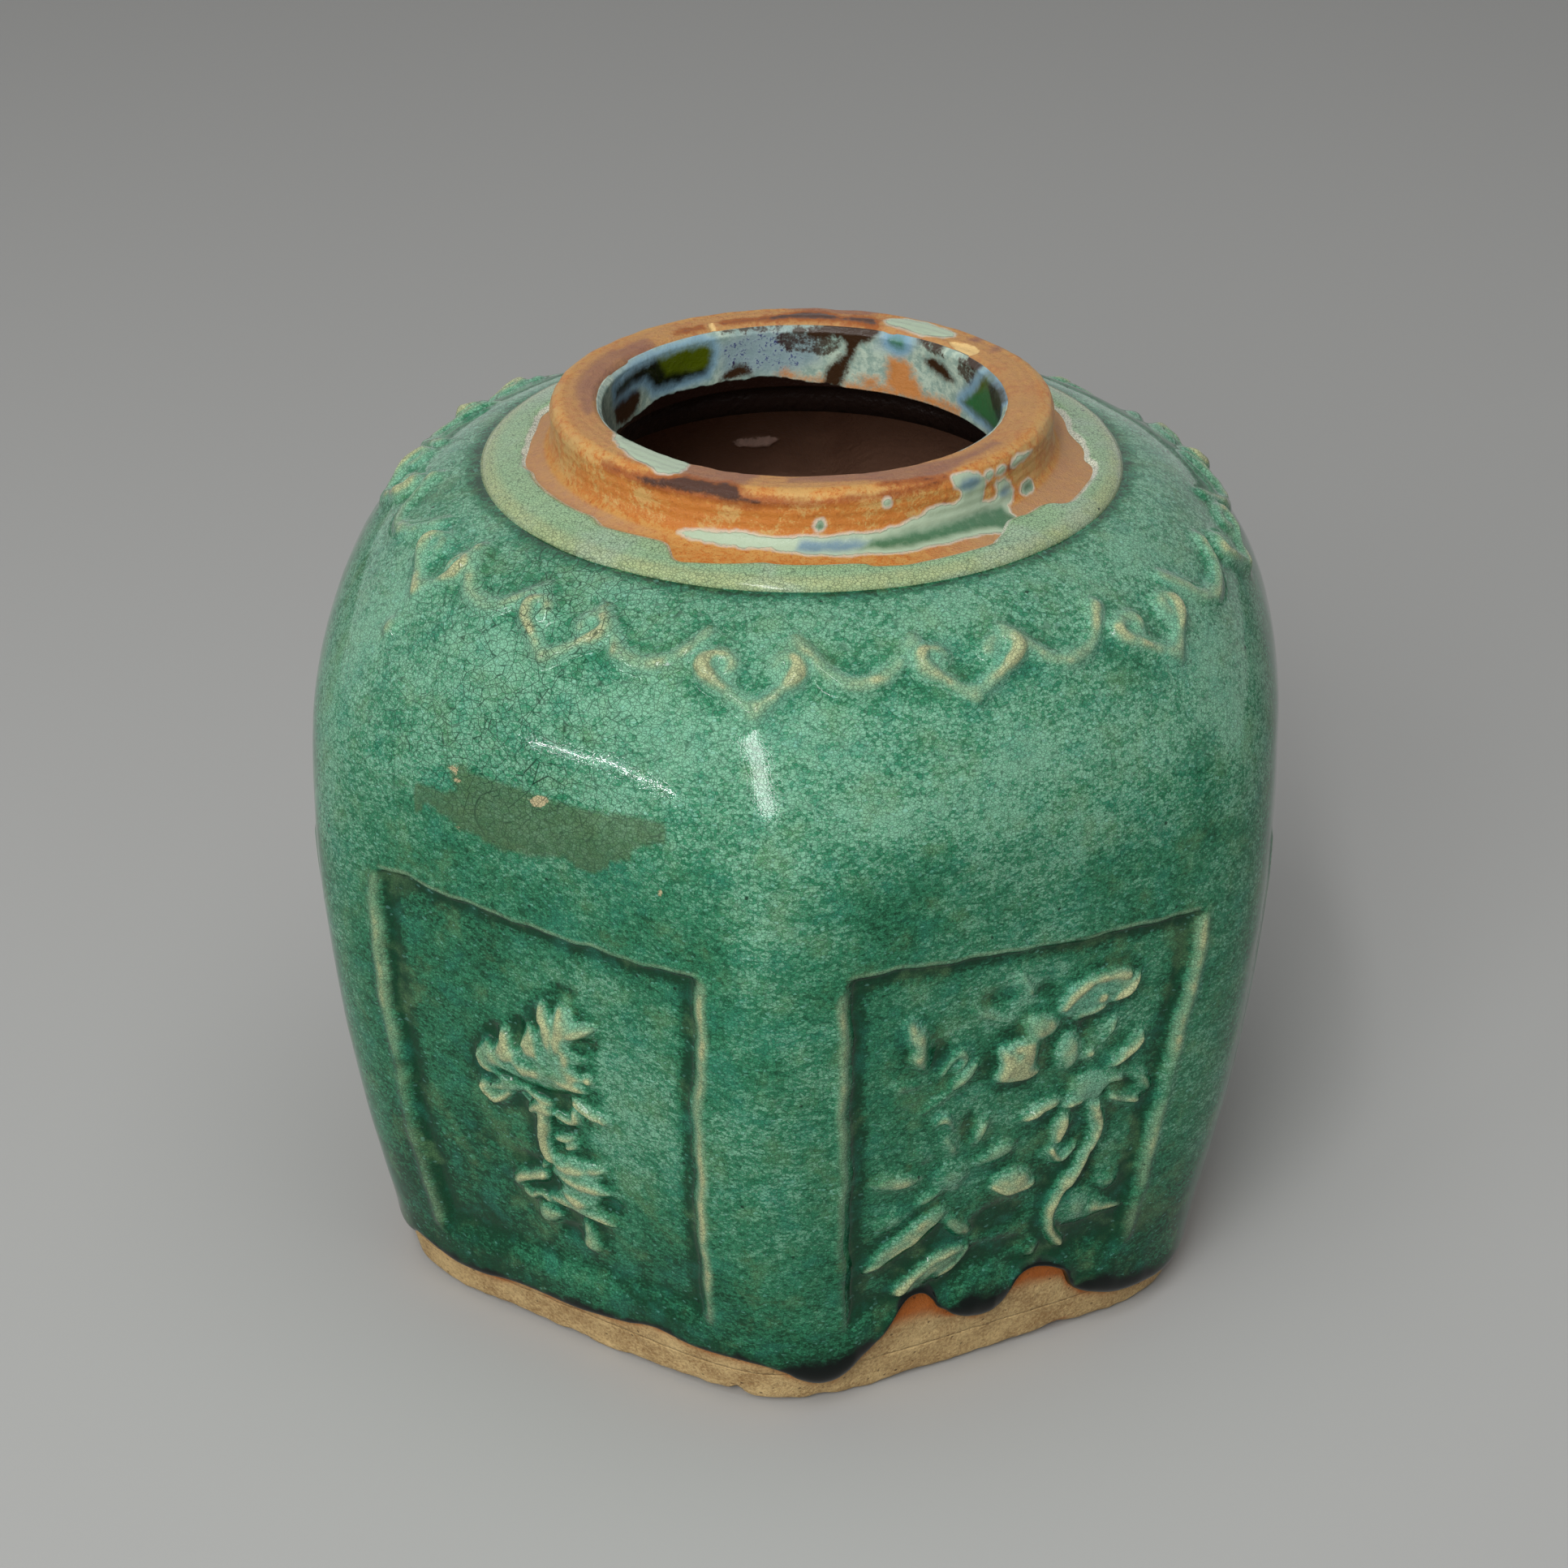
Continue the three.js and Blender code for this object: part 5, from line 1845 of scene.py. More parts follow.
@dataclass
class GlazeCoat:
    """The green coat, made face by face, each a thin closed shell over the clay."""

    form: JarForm
    relief: Relief
    noise: Noise
    columns: int = 230
    thickness: float = 1.0
    sunk: float = 0.06
    roll: float = 0.45
    drip_roll: float = 1.35
    back_every: int = 10
    back_depth: float = 0.25
    mean_low: float = 10.0
    mean_high: float = 9.0

    def rows(self) -> np.ndarray:
        """The arcs of the rows, close together at the edges and over the carving.

        Each step is read from a table. The rows are then spread anew, so that their number
        suits the coarser grid of the back.

        Returns:
            One arc for each row, for a coat of mean height.
        """
        seat = self.form.seat_arc
        end = seat + self.mean_high
        # Millimetres from the first row, and the step there
        marks = (
            (0, 0.1), (1.2, 0.28), (12, 0.42), (14, 0.36), (92, 0.36), (97, 0.85), (122, 0.85),
            (127, 0.38), (154, 0.38), (157, 0.55), (end - 13, 0.5), (end - 11.2, 0.3),
            (end - 10, 0.12),
        )
        gone, steps = zip(*marks)
        found = [0.0]
        while found[-1] < end - self.mean_low - 0.06:
            found.append(found[-1] + float(np.interp(found[-1], gone, steps)))
        spare = (len(found) - 1) % self.back_every
        even = np.linspace(0, len(found) - 1, len(found) - spare)
        return np.interp(even, np.arange(len(found)), found) + self.mean_low

    def arcs(self, angle: np.ndarray, rows: np.ndarray) -> tuple[np.ndarray, ...]:
        """Bends the rows to the two edges of the coat.

        Args:
            angle: One angle for each column.
            rows: The even rows.

        Returns:
            The arc of every point, its distance from the lower edge and from the upper.
        """
        seat = self.form.seat_arc
        low = round_curve(angle, LOWER_EDGE)[None, :]
        high = round_curve(angle, UPPER_EDGE)[None, :] + seat
        row = rows[:, None]
        near_low = 1 - smooth(row - self.mean_low, 0, 46)
        near_high = smooth(row - seat, -5, self.mean_high)
        arc = row + (low - self.mean_low) * near_low
        arc = arc + (high - seat - self.mean_high) * near_high
        return arc, arc - low, high - arc

    def drip(self, angle: np.ndarray) -> np.ndarray:
        """How far the lower edge hangs below its neighbourhood, from 0 to 1."""
        wide = sum(round_curve(angle + off, LOWER_EDGE) for off in (-12, -7, 0, 7, 12)) / 5
        return np.clip((wide - round_curve(angle, LOWER_EDGE)) / 5.0, 0, 1)

    def skin(
        self, angle: np.ndarray, rows: np.ndarray
    ) -> tuple[np.ndarray, dict[str, np.ndarray]]:
        """The outer skin over some columns.

        The glaze is a millimetre thick, swells to a roll above its lower edge, more so in
        a drip, and thins out to nothing on the flange.

        Args:
            angle: One angle for each column.
            rows: The even rows.

        Returns:
            The points, and the maps that paint them.
        """
        arc, above, below = self.arcs(angle, rows)
        turn = np.broadcast_to(angle, arc.shape)
        drip = self.drip(angle)[None, :]
        width = 1.6 + 2.6 * drip
        high = self.roll + self.drip_roll * drip
        roll = high * (above / width) * np.exp(1 - above / width)
        body = self.thickness * (1 - np.exp(-above / 0.4)) - 0.12 * np.exp(-above / 0.1)
        lap = smooth(below, -0.1, 1.6) ** 0.6
        place = self.form.skin(turn, arc, 0)
        wobble = 0.20 * self.noise.at(place, 24) + 0.07 * self.noise.at(place, 7)
        push = (body + roll + wobble * smooth(above, 1, 8)) * lap
        push = push + self.relief.read(self.relief.height, turn, arc) * smooth(above, 0, 3)
        points = self.form.skin(turn, arc, push - self.sunk)
        return points, self._maps(turn, arc, above, below, drip, place)

    def _maps(
        self,
        turn: np.ndarray,
        arc: np.ndarray,
        above: np.ndarray,
        below: np.ndarray,
        drip: np.ndarray,
        place: np.ndarray,
    ) -> dict[str, np.ndarray]:
        """Paints where the glaze is thin, pooled, light or stained, and where light and shade are
        painted on it.

        Args:
            turn: The angle of every point.
            arc: Its arc.
            above: Its distance from the lower edge.
            below: Its distance from the upper edge.
            drip: How far each column hangs down.
            place: Its place on the clay.

        Returns:
            One map for each name.
        """
        height = self.form.height_at(arc)
        seat = self.form.seat_arc
        ragged = 1.0 * self.noise.at(place, 3.2) + 0.5 * self.noise.at(place, 1.1)
        pool = self.relief.read(self.relief.pool, turn, arc)
        # Pooled glaze and painted shadow: a dark band just below the flange's edge
        pool = np.maximum(pool, 1.1 * bell(arc + 0.5 * ragged, seat - 1.0, 1.9))
        thin = self.relief.read(self.relief.thin, turn, arc)
        reach = 1.3 + 6.5 * drip
        edge = 1 - smooth(above + ragged, reach * 0.5, reach * 1.3 + 1.4)
        sage = 0.5 * smooth(arc, seat - 0.3, seat + 2.2) + 0.5 * smooth(arc, seat + 2, seat + 5.5)
        rim = 1 - smooth(below + 0.4 * ragged, 0.2, 1.3)
        sage = sage + 0.5 * rim * smooth(arc, seat, seat + 2)
        label = LABEL_SCAR.depth(turn, arc, SHOULDER_DEGREE) + 0.5 * ragged
        spots = [spot.depth(turn, arc, SHOULDER_DEGREE) for spot in LABEL_FLAKES]
        flake = sum(0.9 * bell(depth, 1, 1.6) for depth in spots)
        lift = self._glaze_tone_and_painted_light(turn, height, above)
        lift = lift + 0.2 * self.noise.at(place, 21) + 0.14 * self.noise.at(place, 8)
        lift = lift + 0.4 * self.relief.read(self.relief.pale, turn, arc)
        craze = 0.15 + 0.85 * bell(half_turn(turn, 0), -34, 24) * smooth(height, 108, 128)
        painted = (thin, pool, edge, lift, smooth(label, -0.3, 0.3), sage, craze, flake)
        names = ("thin", "pool", "edge", "tone_and_painted_light", "olive", "sage", "craze", "flake")
        return dict(zip(names, painted))

    def _glaze_tone_and_painted_light(self, turn: np.ndarray, height: np.ndarray, above: np.ndarray) -> np.ndarray:
        """How pale the glaze is drawn. It is thin on the corners and thick above its lower edge;
        the paler shoulder is partly thin glaze and partly painted light from above, the darker
        foot partly thick glaze and partly painted shade, and the front left panel's halves, the
        left side and a patch high on the right shoulder carry painted light, shade and sheen.

        Args:
            turn: The angle of every point.
            height: Its height.
            above: Its distance from the lower edge.

        Returns:
            What to add to how pale the glaze is drawn, painted light and shade included.
        """
        away = half_turn(turn, 0)
        corner = np.abs((turn + 30) % 60 - 30)
        # Painted light and shade: paler up the shoulder as if lit from above, darker towards the
        # foot, partly thicker glaze
        lift = 0.42 * smooth(height, 96, 140) - 0.42 * (1 - smooth(height, 14, 66))
        lift = lift + 0.24 * bell(corner, 0, 5) * smooth(height, 10, 50)
        lift = lift - 0.40 * (1 - smooth(above, 1, 9))
        # Painted light and shade: the right half of the front left panel lighter, its left half
        # darker
        lift = lift + 0.22 * bell(away, -20, 7) * smooth(height, 26, 60) * fall(height, 90, 98)
        lift = lift - 0.28 * bell(away, -42, 9) * fall(height, 96, 104)
        for share, middle, spread, level, reach in WALL_TONES:
            lift = lift + share * bell(away, middle, spread) * bell(height, level, reach)
        # A painted sheen high on the right of the shoulder
        lift = lift + 0.14 * bell(away, 22, 14) * smooth(height, 118, 132)
        # Painted shade darkening the left side of the wall
        return lift - 0.25 * bell(away, -52, 7) * fall(height, 80, 112)

    def face(self, middle: float, name: str) -> Piece:
        """One face of the coat, from corner to corner.

        Args:
            middle: The angle of the face's middle.
            name: The piece's name.

        Returns:
            The piece.
        """
        rows = self.rows()
        step = 60.0 / self.columns
        angle = middle - 30 + step * np.arange(-1, self.columns + 2)
        wide, maps = self.skin(angle, rows)
        along = wide[:, 2:] - wide[:, :-2]
        up = np.gradient(wide[:, 1:-1], axis=0)
        normal = np.cross(along, up)
        normal /= np.linalg.norm(normal, axis=-1, keepdims=True)
        front = wide[:, 1:-1]
        count_r, count_c = front.shape[:2]
        pick_r = np.arange(0, count_r, self.back_every)
        pick_c = np.arange(0, count_c, self.back_every)
        arc = self.arcs(angle[1:-1], rows)[0][np.ix_(pick_r, pick_c)]
        turn = np.broadcast_to(angle[1:-1][pick_c], arc.shape)
        hollow = np.minimum(self.relief.read(self.relief.height, turn, arc), 0)
        back = self.form.skin(turn, arc, hollow - self.back_depth)
        rim_front, rim_back = edge_loop(count_r, count_c), edge_loop(len(pick_r), len(pick_c))
        rim_back = rim_back + count_r * count_c
        faces = [
            quads(count_r, count_c),
            quads(len(pick_r), len(pick_c))[:, ::-1] + count_r * count_c,
            *joined(rim_front, rim_back, self.back_every),
        ]
        points = np.vstack([front.reshape(-1, 3), back.reshape(-1, 3)])
        painted = {key: values[:, 1:-1] for key, values in maps.items()}
        # A normal of zero leaves the point its own
        normals = np.vstack([normal.reshape(-1, 3), np.zeros_like(back).reshape(-1, 3)])
        return Piece(name, Slot.GREEN_GLAZE, ("outer_glaze",), points, faces, painted, normals)

    def build(self) -> None:
        """Makes all six faces of the coat."""
        material = GreenGlaze().build()
        names = ("front_right", "right", "back_right", "back_left", "left", "front_left")
        for middle, name in zip(FACE_MIDDLES, names):
            self.face(middle, f"green_coat_{name}").make(material)


def edge_loop(rows: int, columns: int) -> np.ndarray:
    """The point numbers round the edge of a grid, right, up, left and down."""
    grid = np.arange(rows * columns).reshape(rows, columns)
    return np.concatenate([grid[0, :-1], grid[:-1, -1], grid[-1, :0:-1], grid[:0:-1, 0]])


def joined(fine: np.ndarray, coarse: np.ndarray, ratio: int) -> list[np.ndarray]:
    """Closes the strip between a fine loop and a coarse one behind it.

    Args:
        fine: The point numbers of the front loop.
        coarse: Those of the back loop, one for each ratio of the fine ones.
        ratio: How many fine points go to one coarse point.

    Returns:
        The triangles.
    """
    blocks = fine.reshape(-1, ratio)
    after = np.roll(fine, -1).reshape(-1, ratio)
    half = ratio // 2
    here, there = coarse[:, None], np.roll(coarse, -1)[:, None]
    first = np.stack(np.broadcast_arrays(here, after[:, :half], blocks[:, :half]), -1)
    second = np.stack(np.broadcast_arrays(there, after[:, half:], blocks[:, half:]), -1)
    bridge = np.stack([coarse, np.roll(coarse, -1), blocks[:, half]], -1)
    return [first.reshape(-1, 3), second.reshape(-1, 3), bridge]


# Where the foot's edge is broken away: angle, spread and how much higher
FOOT_CHIPS = ((-5, 0.9, 1.6), (-13, 7, 1.0), (43, 2, 1.2), (6, 2, 0.9))


@dataclass
class ClayBody:
    """The floor slab and the two moulded halves, bare at the foot."""

    form: JarForm
    relief: Relief
    noise: Noise
    columns: int = 720
    floor: float = 8.05
    foot_radius: float = 80.0

    def chips(self, angle: np.ndarray) -> np.ndarray:
        """How high the foot's edge is worn or broken away: noise, and a bell for each chip.

        Args:
            angle: Degrees from the front seam.

        Returns:
            The height in millimetres.
        """
        place = turned(angle, self.foot_radius, 0.0)
        worn = 0.9 + 0.5 * self.noise.at(place, 9) + 0.35 * self.noise.at(place, 2.5)
        for middle, width, high in FOOT_CHIPS:
            worn = worn + high * bell(half_turn(angle, middle), 0, width)
        return np.maximum(worn, 0.25)

    def surface(self, angle: np.ndarray, height: np.ndarray) -> np.ndarray:
        """The bare wall, pushed in by noise, where it is worn, and under panels and glaze.

        Args:
            angle: Degrees from the front seam.
            height: Millimetres above the foot.

        Returns:
            The points, with x, y and z on the last axis.
        """
        arc = self.form.arc_at(height)
        place = self.form.skin(angle, arc, 0)
        chip = self.chips(angle)
        under = np.maximum(chip - height, 0)
        rough = 0.12 * self.noise.at(place, 3) + 0.07 * self.noise.at(place, 1.2)
        push = rough - 0.9 * under - 0.35 * fall(height, chip - 0.2, chip + 0.8)
        sunk = np.minimum(self.relief.read(self.relief.height, angle, arc), 0)
        covered = smooth(arc - round_curve(angle, LOWER_EDGE), 0.5, 4.0)
        return self.form.skin(angle, arc, push + sunk * smooth(height, 10, 14) - 0.9 * covered)

    def flash(self, angle: np.ndarray, height: np.ndarray) -> np.ndarray:
        """How orange the clay is: it fades below the glaze's edge, and shows in the notches.

        Args:
            angle: Degrees from the front seam.
            height: Millimetres above the foot.

        Returns:
            The share of orange, from 0 to 1.
        """
        low = round_curve(angle, LOWER_EDGE)
        place = turned(angle, self.foot_radius, height)
        gap = low - self.form.arc_at(height) + 0.8 * self.noise.at(place, 2.2)
        notch = smooth(height, 12, 19)
        chip = 0.7 * bell(half_turn(angle, 43), 0, 1.8) * (height < 3)
        return np.clip(np.exp(-np.maximum(gap, 0) / 1.4) + 0.85 * notch + chip, 0, 1)

    def slab(self) -> Piece:
        """The floor, rings of the wall's own section that shrink to a middle point.

        Returns:
            The piece, whose bare edge is the foot.
        """
        angle = round_angles(self.columns)
        low = (0.0, 0.3, 0.6, 0.9, 1.3, 1.7, 2.2, 2.8, 3.4, 4.2, 5, 5.8, 6.6, 7.4)
        levels = np.r_[low, self.floor]
        turn, height = np.meshgrid(angle, levels)
        side = self.surface(turn, height)
        rings = [side[:1] * (share, share, 1) for share in (0.35, 0.7, 0.9, 0.97)]
        lids = [side[-1:] * (share, share, 1) for share in (0.9, 0.35)]
        grid = np.vstack([*rings, side, *lids])
        rows = len(grid)
        heights = np.r_[np.zeros(len(rings)), levels, self.floor, self.floor]
        flash = self.flash(angle, heights[:, None])
        flash[: len(rings)] = 0.15
        points = np.vstack([grid.reshape(-1, 3), [[0, 0, 0], [0, 0, self.floor]]])
        ring = np.arange(self.columns)
        after = (ring + 1) % self.columns
        last = (rows - 1) * self.columns
        middle = np.full_like(ring, rows * self.columns)
        under = np.stack([middle, after, ring], -1)
        over = np.stack([middle + 1, last + ring, last + after], -1)
        faces = [quads(rows, self.columns, True), under, over]
        return Piece("foot_slab", Slot.BARE_CLAY, ("base_slab",), points, faces, {"flash": flash})

    def half(self, start: float, name: str, node: str) -> Piece:
        """One moulded half, as a closed shell.

        Args:
            start: The angle at which it starts.
            name: The piece's name.
            node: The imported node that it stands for.

        Returns:
            The piece.
        """
        form = self.form
        angle = start + np.linspace(0, 180, self.columns // 2 + 1)
        low = np.r_[np.arange(self.floor, 27, 0.5), np.arange(28, 108, 2.0), 111]
        high = np.linspace(form.arc_at(np.array(form.belly_height)), form.seat_arc, 14)
        turn, height = np.meshgrid(angle, low)
        wall = self.surface(turn, height)
        turn_high, arc_high = np.meshgrid(angle, high)
        dome = form.skin(turn_high, arc_high, -0.3)
        back_arc = np.r_[high[::-1][1:], form.arc_at(low[::-1])]
        inner_turn, inner_arc = np.meshgrid(angle, back_arc)
        lining = form.skin(inner_turn, inner_arc, -form.wall)
        rim = ((form.hole_radius, form.seat - 0.1), (form.hole_radius, form.seat - form.wall))
        grid = np.vstack([wall, dome, hoops(angle, rim), lining])
        flash = self.flash(angle, np.minimum(grid[..., 2], 30))
        rows, columns = grid.shape[:2]
        closed = np.arange(rows * columns).reshape(rows, columns)
        bottom = np.stack([closed[-1, :-1], closed[-1, 1:], closed[0, 1:], closed[0, :-1]], -1)
        faces = [quads(rows, columns), bottom, closed[:, 0][None, :], closed[::-1, -1][None, :]]
        points = grid.reshape(-1, 3)
        return Piece(name, Slot.BARE_CLAY, (node,), points, faces, {"flash": flash})

    def build(self) -> None:
        """Makes the slab and both halves."""
        material = BareClay().build()
        self.slab().make(material)
        self.half(0, "clay_half_right", "moulded_half_right").make(material)
        self.half(180, "clay_half_left", "moulded_half_left").make(material)
        for node in ("seam_coil_front", "seam_coil_back"):
            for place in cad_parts[node].material_slots:
                place.material = material


@dataclass
class Neck:
    """The thrown collar with its flange and rolled lip, and the glaze inside it."""

    form: JarForm
    noise: Noise
    columns: int = 800
    under_radius: float = 56.5
    lip_drop: float = 1.0
    lip_station: float = 30.9

    def _ragged(self, place: np.ndarray) -> np.ndarray:
        """Noise in millimetres that frays the edge of every stain."""
        return 0.45 * self.noise.at(place, 3.6) + 0.25 * self.noise.at(place, 1.3)

    def collar(self) -> Piece:
        """The clay collar: the neck's outline with wear and turning marks, closed below.

        Returns:
            The piece.
        """
        form = self.form
        angle = round_angles(self.columns)
        end = form.end_arc - form.seat_arc
        stations = np.r_[np.arange(3.0, 33.5, 0.34), np.arange(34, end, 1.2), end]
        turn, station = np.meshgrid(angle, stations)
        arc = station + form.seat_arc
        place = form.skin(turn, arc, 0)
        ragged = self._ragged(place)
        maps = {key: area.read(turn, station, ragged) for key, area in COLLAR_PAINT.items()}
        away = half_turn(turn, 0)
        maps["sheen"] = 0.62 * smooth(station, 13.5, 15.5) * fall(station, 22, 26)
        maps["orange"] = smooth(station, 13, 15) * fall(station, 20, 23) * bell(away, -8, 60)
        maps["orange"] += 0.6 * bell(station, 9, 2.6) * bell(away, 8, 30)
        maps["flesh"] = fall(station, 12.5, 13.5) * smooth(np.abs(away), 20, 45)
        maps["flesh"] = np.maximum(maps["flesh"], smooth(station, 23.5, 26) * 0.6)
        wear = 0.16 * self.noise.at(place, 14) + 0.12 * self.noise.at(place, 5)
        wear = wear + 0.06 * self.noise.at(place, 1.6)
        bow = 0.7 * self.noise.at(place, 20)
        turned_marks = 0.05 * np.sin(station * 3.4 + bow) * smooth(station, 13, 15)
        push = wear + turned_marks - 0.1 + 0.22 * smooth(maps["glaze"], -0.5, 0.8)
        push = push + 0.12 * smooth(maps["stain"], 0, 1.5) - 0.5 * smooth(maps["chip"], -0.3, 0.6)
        outer = form.skin(turn, arc, push)
        low = form.seat + 0.3
        under = hoops(angle, ((form.mouth_radius + 1, low), (self.under_radius, low)))
        grid = np.vstack([outer, under])
        return Piece(
            "neck_collar", Slot.NECK_CLAY, ("neck_ring",), grid.reshape(-1, 3),
            sleeve(len(grid), self.columns), maps,
        )

    def lining(self) -> Piece:
        """The glaze inside the neck, a thin closed sleeve that swells in its pools.

        Returns:
            The piece.
        """
        form = self.form
        angle = round_angles(self.columns)
        heights = np.linspace(form.height - self.lip_drop, form.seat + 0.5, 60)
        turn, height = np.meshgrid(angle, heights)
        station = self.lip_station + form.height - self.lip_drop - height
        place = turned(turn, form.mouth_radius, height)
        ragged = self._ragged(place)
        maps = {key: area.read(turn, station, ragged) for key, area in MOUTH_PAINT.items()}
        swell = 0.25 * smooth(maps["pool"], -0.5, 1.5) + 0.1 * self.noise.at(place, 4)
        flare = 0.9 * smooth(height, form.height - 2.2, form.height - 0.8)
        face = turned(turn, form.mouth_radius - 0.75 - swell + flare, height)
        behind = form.mouth_radius - 0.2 + flare[::-1]
        back = turned(turn[::-1], behind, height[::-1])
        grid = np.vstack([face, back])
        return Piece(
            "mouth_glaze", Slot.CELADON_GLAZE, ("neck_glaze",), grid.reshape(-1, 3),
            sleeve(len(grid), self.columns), maps,
        )

    def build(self) -> None:
        """Makes the collar and its lining."""
        self.collar().make(NeckFinish().build())
        self.lining().make(MouthGlaze().build())


@dataclass
class Chamber:
    """The dark lining of the chamber, up to the underside of the neck."""

    form: JarForm
    noise: Noise
    columns: int = 400
    rows: int = 116
    floor: float = 8.4
    offset: float = 6.9
    thickness: float = 0.7
    coil_rise: float = 4.4
    coil_spread: float = 4.4

    def build(self) -> None:
        """Makes the lining, a thin closed skin inside the walls."""
        form = self.form
        angle = round_angles(self.columns)
        # Close rows over the crumb and the ledge, wider ones above and below them
        marks = (form.seat_arc - 1.5, 137.0, 113.0, float(form.arc_at(np.array(self.floor))))
        arcs = np.interp(np.arange(self.rows), (0, 20, 60, self.rows - 1), marks)
        turn, arc = np.meshgrid(angle, arcs)
        place = form.skin(turn, arc, -self.offset)
        bulge = 0.4 * self.noise.at(place, 18) + 0.15 * self.noise.at(place, 5)
        coil = sum(
            self.coil_rise * bell(half_turn(turn, seam), 0, self.coil_spread) for seam in (0, 180)
        )
        ledge = 0.9 * bell(arc, 116, 1.6) * smooth(np.abs(half_turn(turn, 0)), 90, 120)
        crumb = CLAY_CRUMB.depth(turn, arc, CHAMBER_DEGREE) + 0.4 * self.noise.at(place, 1.5)
        crust = smooth(crumb, -0.2, 0.8) * (1.4 + 0.9 * self.noise.at(place, 1.7))
        inside = self.offset + self.thickness + coil + np.abs(bulge) + ledge + crust
        face = form.skin(turn, arc, -inside)
        back = form.skin(turn[::-1], arc[::-1], -self.offset - coil[::-1])
        roof = form.seat - form.wall
        over = hoops(angle, (
            (form.mouth_radius + 0.4, form.seat + 0.05), (form.hole_radius - 1, form.seat - 0.4),
            (form.hole_radius - 0.7, roof + 3), (form.hole_radius - 0.5, roof - 0.4),
            (form.hole_radius + 4, roof - 0.7),
        ))
        under = hoops(angle, (
            (form.hole_radius + 4, roof - 0.1), (form.hole_radius - 0.2, roof),
            (form.hole_radius - 0.3, form.seat + 0.2), (form.mouth_radius + 0.4, form.seat + 0.25),
        ))
        grid = np.vstack([over, face, back, under])
        walls = slice(len(over), len(over) + self.rows)
        maps = {"crumb": np.full(grid.shape[:2], -1.0), "deep": np.zeros(grid.shape[:2])}
        maps["crumb"][walls] = crumb
        # Painted shade under the roof: deep rises from 0 below the roof to 1 further down the wall
        maps["deep"][walls] = smooth(form.seat_arc - arc, 6, 20)
        lining = Piece(
            "brown_lining", Slot.BROWN_GLAZE, ("inner_glaze",), grid.reshape(-1, 3),
            sleeve(len(grid), self.columns), maps,
        )
        lining.make(BrownGlaze().build())


@dataclass(frozen=True)
class SoftBox:
    """A rectangular studio lamp that faces the jar."""

    name: str
    azimuth: float
    elevation: float
    distance: float
    width: float
    height: float
    watts: float
    roll: float = 0.0
    mirrored: bool = True

    def build(self, target: np.ndarray) -> None:
        """Hangs the lamp so that it looks at the target.

        Args:
            target: What it looks at, in metres.
        """
        data = bpy.data.lights.new(self.name, "AREA")
        data.shape = "RECTANGLE"
        data.size, data.size_y = self.width, self.height
        data.energy = self.watts
        lamp = bpy.data.objects.new(self.name, data)
        lamp.visible_glossy = self.mirrored
        bpy.context.scene.collection.objects.link(lamp)
        place_facing(lamp, target, self.azimuth, self.elevation, self.distance, self.roll)


def place_facing(
    thing: bpy.types.Object,
    target: np.ndarray,
    azimuth: float,
    elevation: float,
    distance: float,
    roll: float,
) -> None:
    """Places a lamp or camera round a target and turns it to look there.

    Args:
        thing: The lamp or camera.
        target: What it looks at, in metres.
        azimuth: Degrees from the front, to the right.
        elevation: Degrees above the horizon.
        distance: Metres from the target.
        roll: Degrees about the line of sight.
    """
    turn, rise = math.radians(azimuth), math.radians(elevation)
    back = np.array(
        [math.sin(turn) * math.cos(rise), -math.cos(turn) * math.cos(rise), math.sin(rise)]
    )
    thing.location = tuple(target + back * distance)
    thing.rotation_mode = "XYZ"
    thing.rotation_euler = (math.pi / 2 - rise, 0.0, turn)
    spin = Matrix.Rotation(math.radians(roll), 3, "Z")
    thing.rotation_euler = (thing.rotation_euler.to_matrix() @ spin).to_euler()


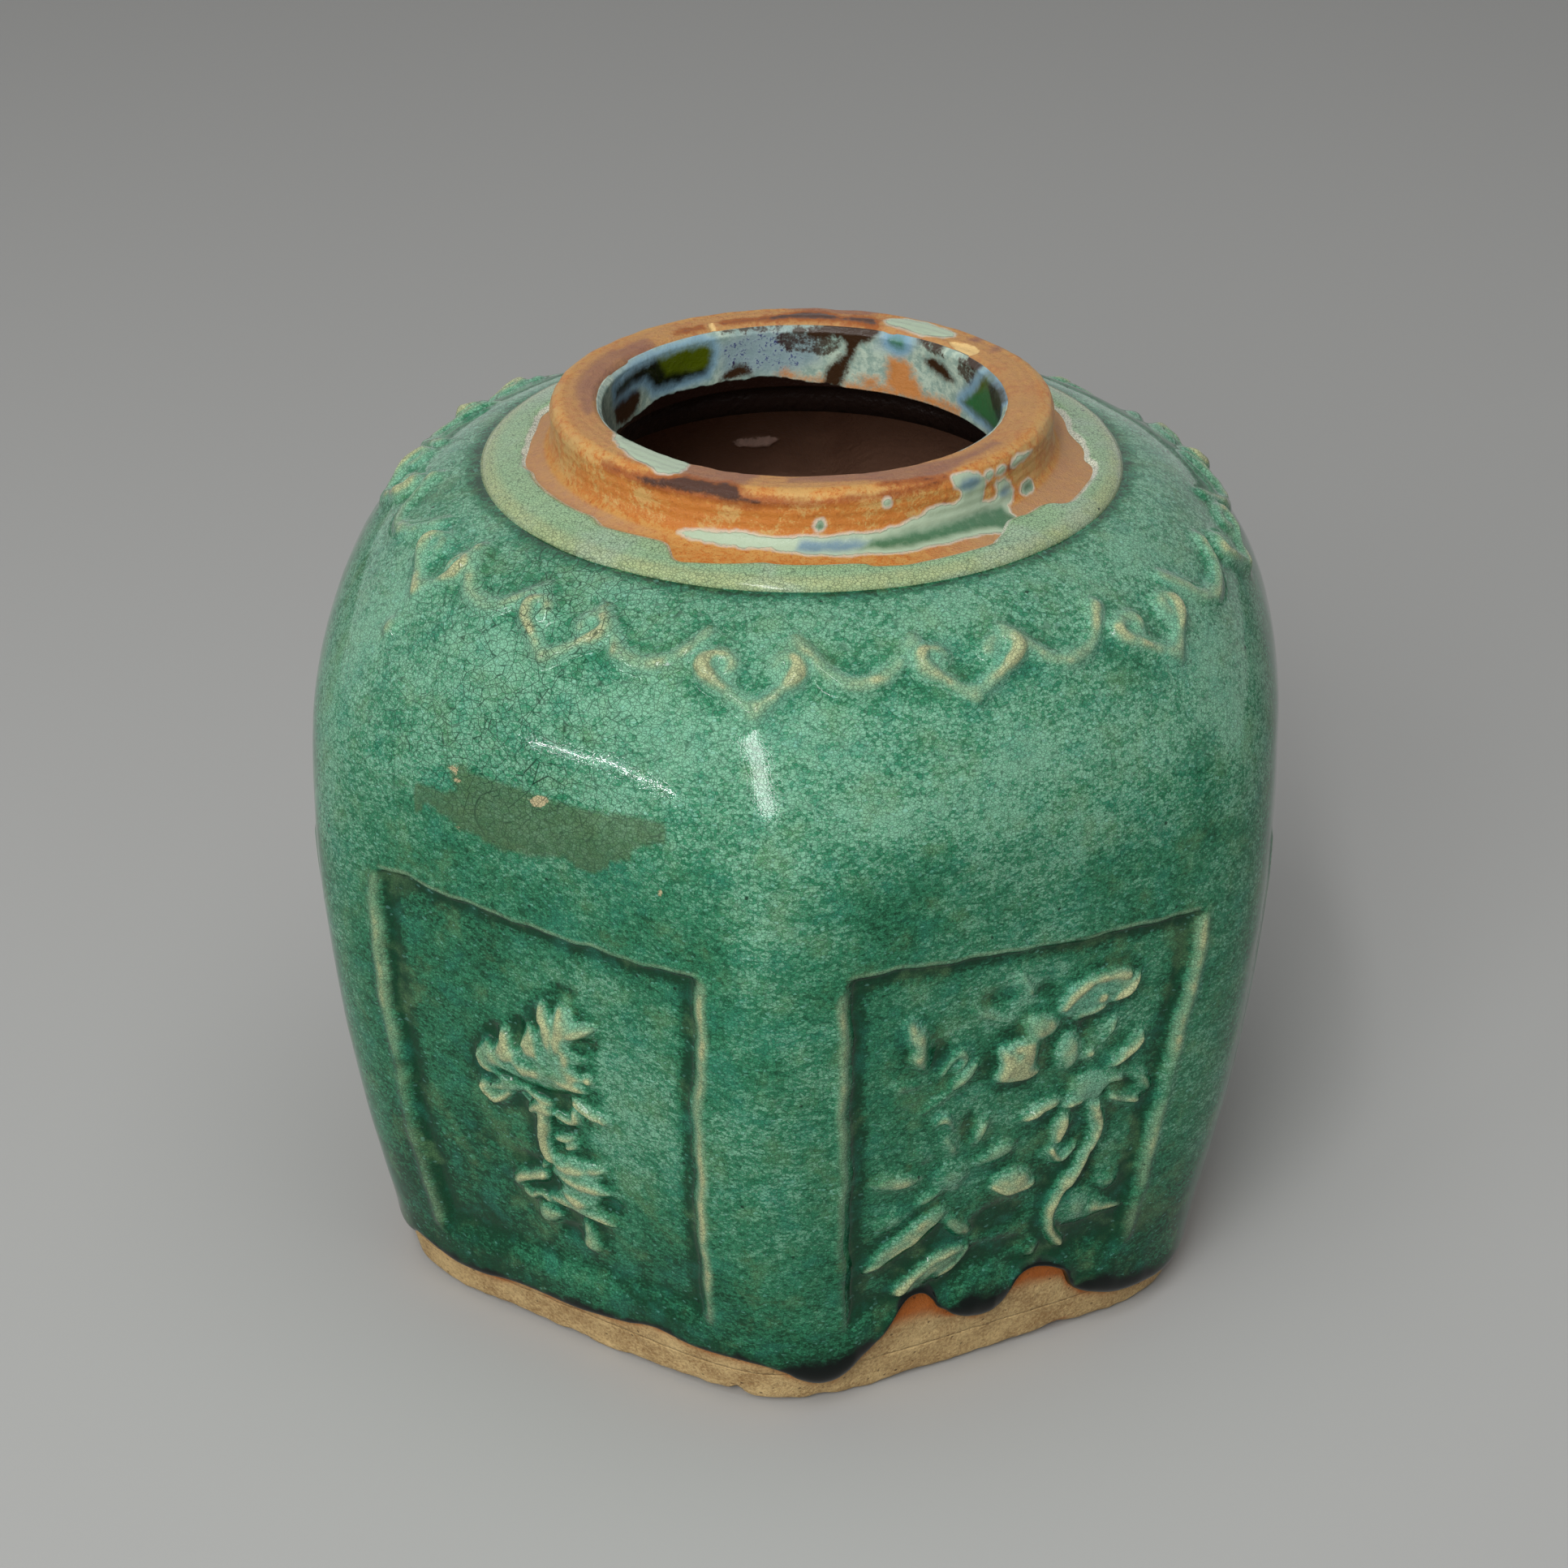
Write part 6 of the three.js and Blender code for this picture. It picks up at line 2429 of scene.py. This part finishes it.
@dataclass
class Studio:
    """The pale floor, the soft lamps and the camera at the photograph's angle."""

    target: tuple[float, float, float] = (0.0, 0.0, 0.085)
    azimuth: float = 3.234
    elevation: float = 28.12
    distance: float = 0.6995
    roll: float = 0.124
    sensor: float = 36.0
    lens: float = 81.44
    shift_right: float = -0.0109
    shift_up: float = 0.0076
    floor_size: float = 6.0
    floor_colour: Colour = (0.40, 0.40, 0.39, 1)
    ambient: float = 0.14
    backdrop: float = 0.7

    def build(self) -> None:
        """Makes the floor, the world, the lamps and the camera."""
        self._floor()
        self._world()
        target = np.array(self.target)
        # Name, azimuth, elevation, distance, width, height and watts
        lamps = (
            SoftBox("key_softbox", -12, 30, 1.8, 0.9, 0.9, 19, mirrored=False),
            SoftBox("overhead_softbox", 0, 80, 1.8, 1.6, 1.6, 13, mirrored=False),
            SoftBox("window_strip", -10, 46, 1.5, 0.10, 0.95, 6.0, roll=18),
            SoftBox("left_strip", -50, 18.5, 1.4, 0.7, 0.012, 2.6, roll=22),
        )
        for lamp in lamps:
            lamp.build(target)
        self._camera(target)

    def _floor(self) -> None:
        """A plain pale floor."""
        half = self.floor_size / 2
        mesh = bpy.data.meshes.new("studio_floor")
        corners = [(-half, -half, 0), (half, -half, 0), (half, half, 0), (-half, half, 0)]
        mesh.from_pydata(corners, [], [(0, 1, 2, 3)])
        floor = bpy.data.objects.new("studio_floor", mesh)
        bpy.context.scene.collection.objects.link(floor)
        inputs = {"Base Color": self.floor_colour, "Roughness": 0.9}
        mesh.materials.append(Shader("pale_floor").finish(inputs))

    def _world(self) -> None:
        """Soft light from all round, behind which a pale backdrop is seen and mirrored."""
        world = bpy.data.worlds.new("studio_world")
        bpy.context.scene.world = world
        nodes = Nodes(world)
        path = nodes.add("ShaderNodeLightPath")
        kinds = ("Is Camera Ray", "Is Glossy Ray", "Is Transmission Ray")
        seen, mirrored, through = (nodes.value(path, kind) for kind in kinds)
        rays = seen.most(mirrored.most(through))
        inputs = {"Value": rays, "To Min": self.ambient, "To Max": self.backdrop}
        strength = nodes.value(nodes.add("ShaderNodeMapRange", {}, inputs))
        inputs = {"Color": (1, 1, 1, 1), "Strength": strength}
        soft = nodes.add("ShaderNodeBackground", {}, inputs)
        nodes.add("ShaderNodeOutputWorld", {}, {"Surface": soft.outputs[0]})

    def _camera(self, target: np.ndarray) -> None:
        """The camera that the photograph was taken with, as fitted to the jar's outline.

        Args:
            target: What it looks at, in metres.
        """
        data = bpy.data.cameras.new("photo_camera")
        data.sensor_width = self.sensor
        data.lens = self.lens
        data.shift_x, data.shift_y = self.shift_right, self.shift_up
        data.clip_start = 0.01
        camera = bpy.data.objects.new("photo_camera", data)
        bpy.context.scene.collection.objects.link(camera)
        place_facing(camera, target, self.azimuth, self.elevation, self.distance, self.roll)
        bpy.context.scene.camera = camera


def main() -> None:
    """Builds the jar, the studio and the camera."""
    logging.basicConfig(level=logging.INFO, format="%(name)s %(message)s")
    form = JarForm()
    relief = Relief(form, Noise(5))
    GlazeCoat(form, relief, Noise(11)).build()
    ClayBody(form, relief, Noise(23)).build()
    Neck(form, Noise(37)).build()
    Chamber(form, Noise(41)).build()
    Studio().build()
    bpy.context.scene.view_settings.view_transform = "Standard"


if __name__ == "__main__":
    main()
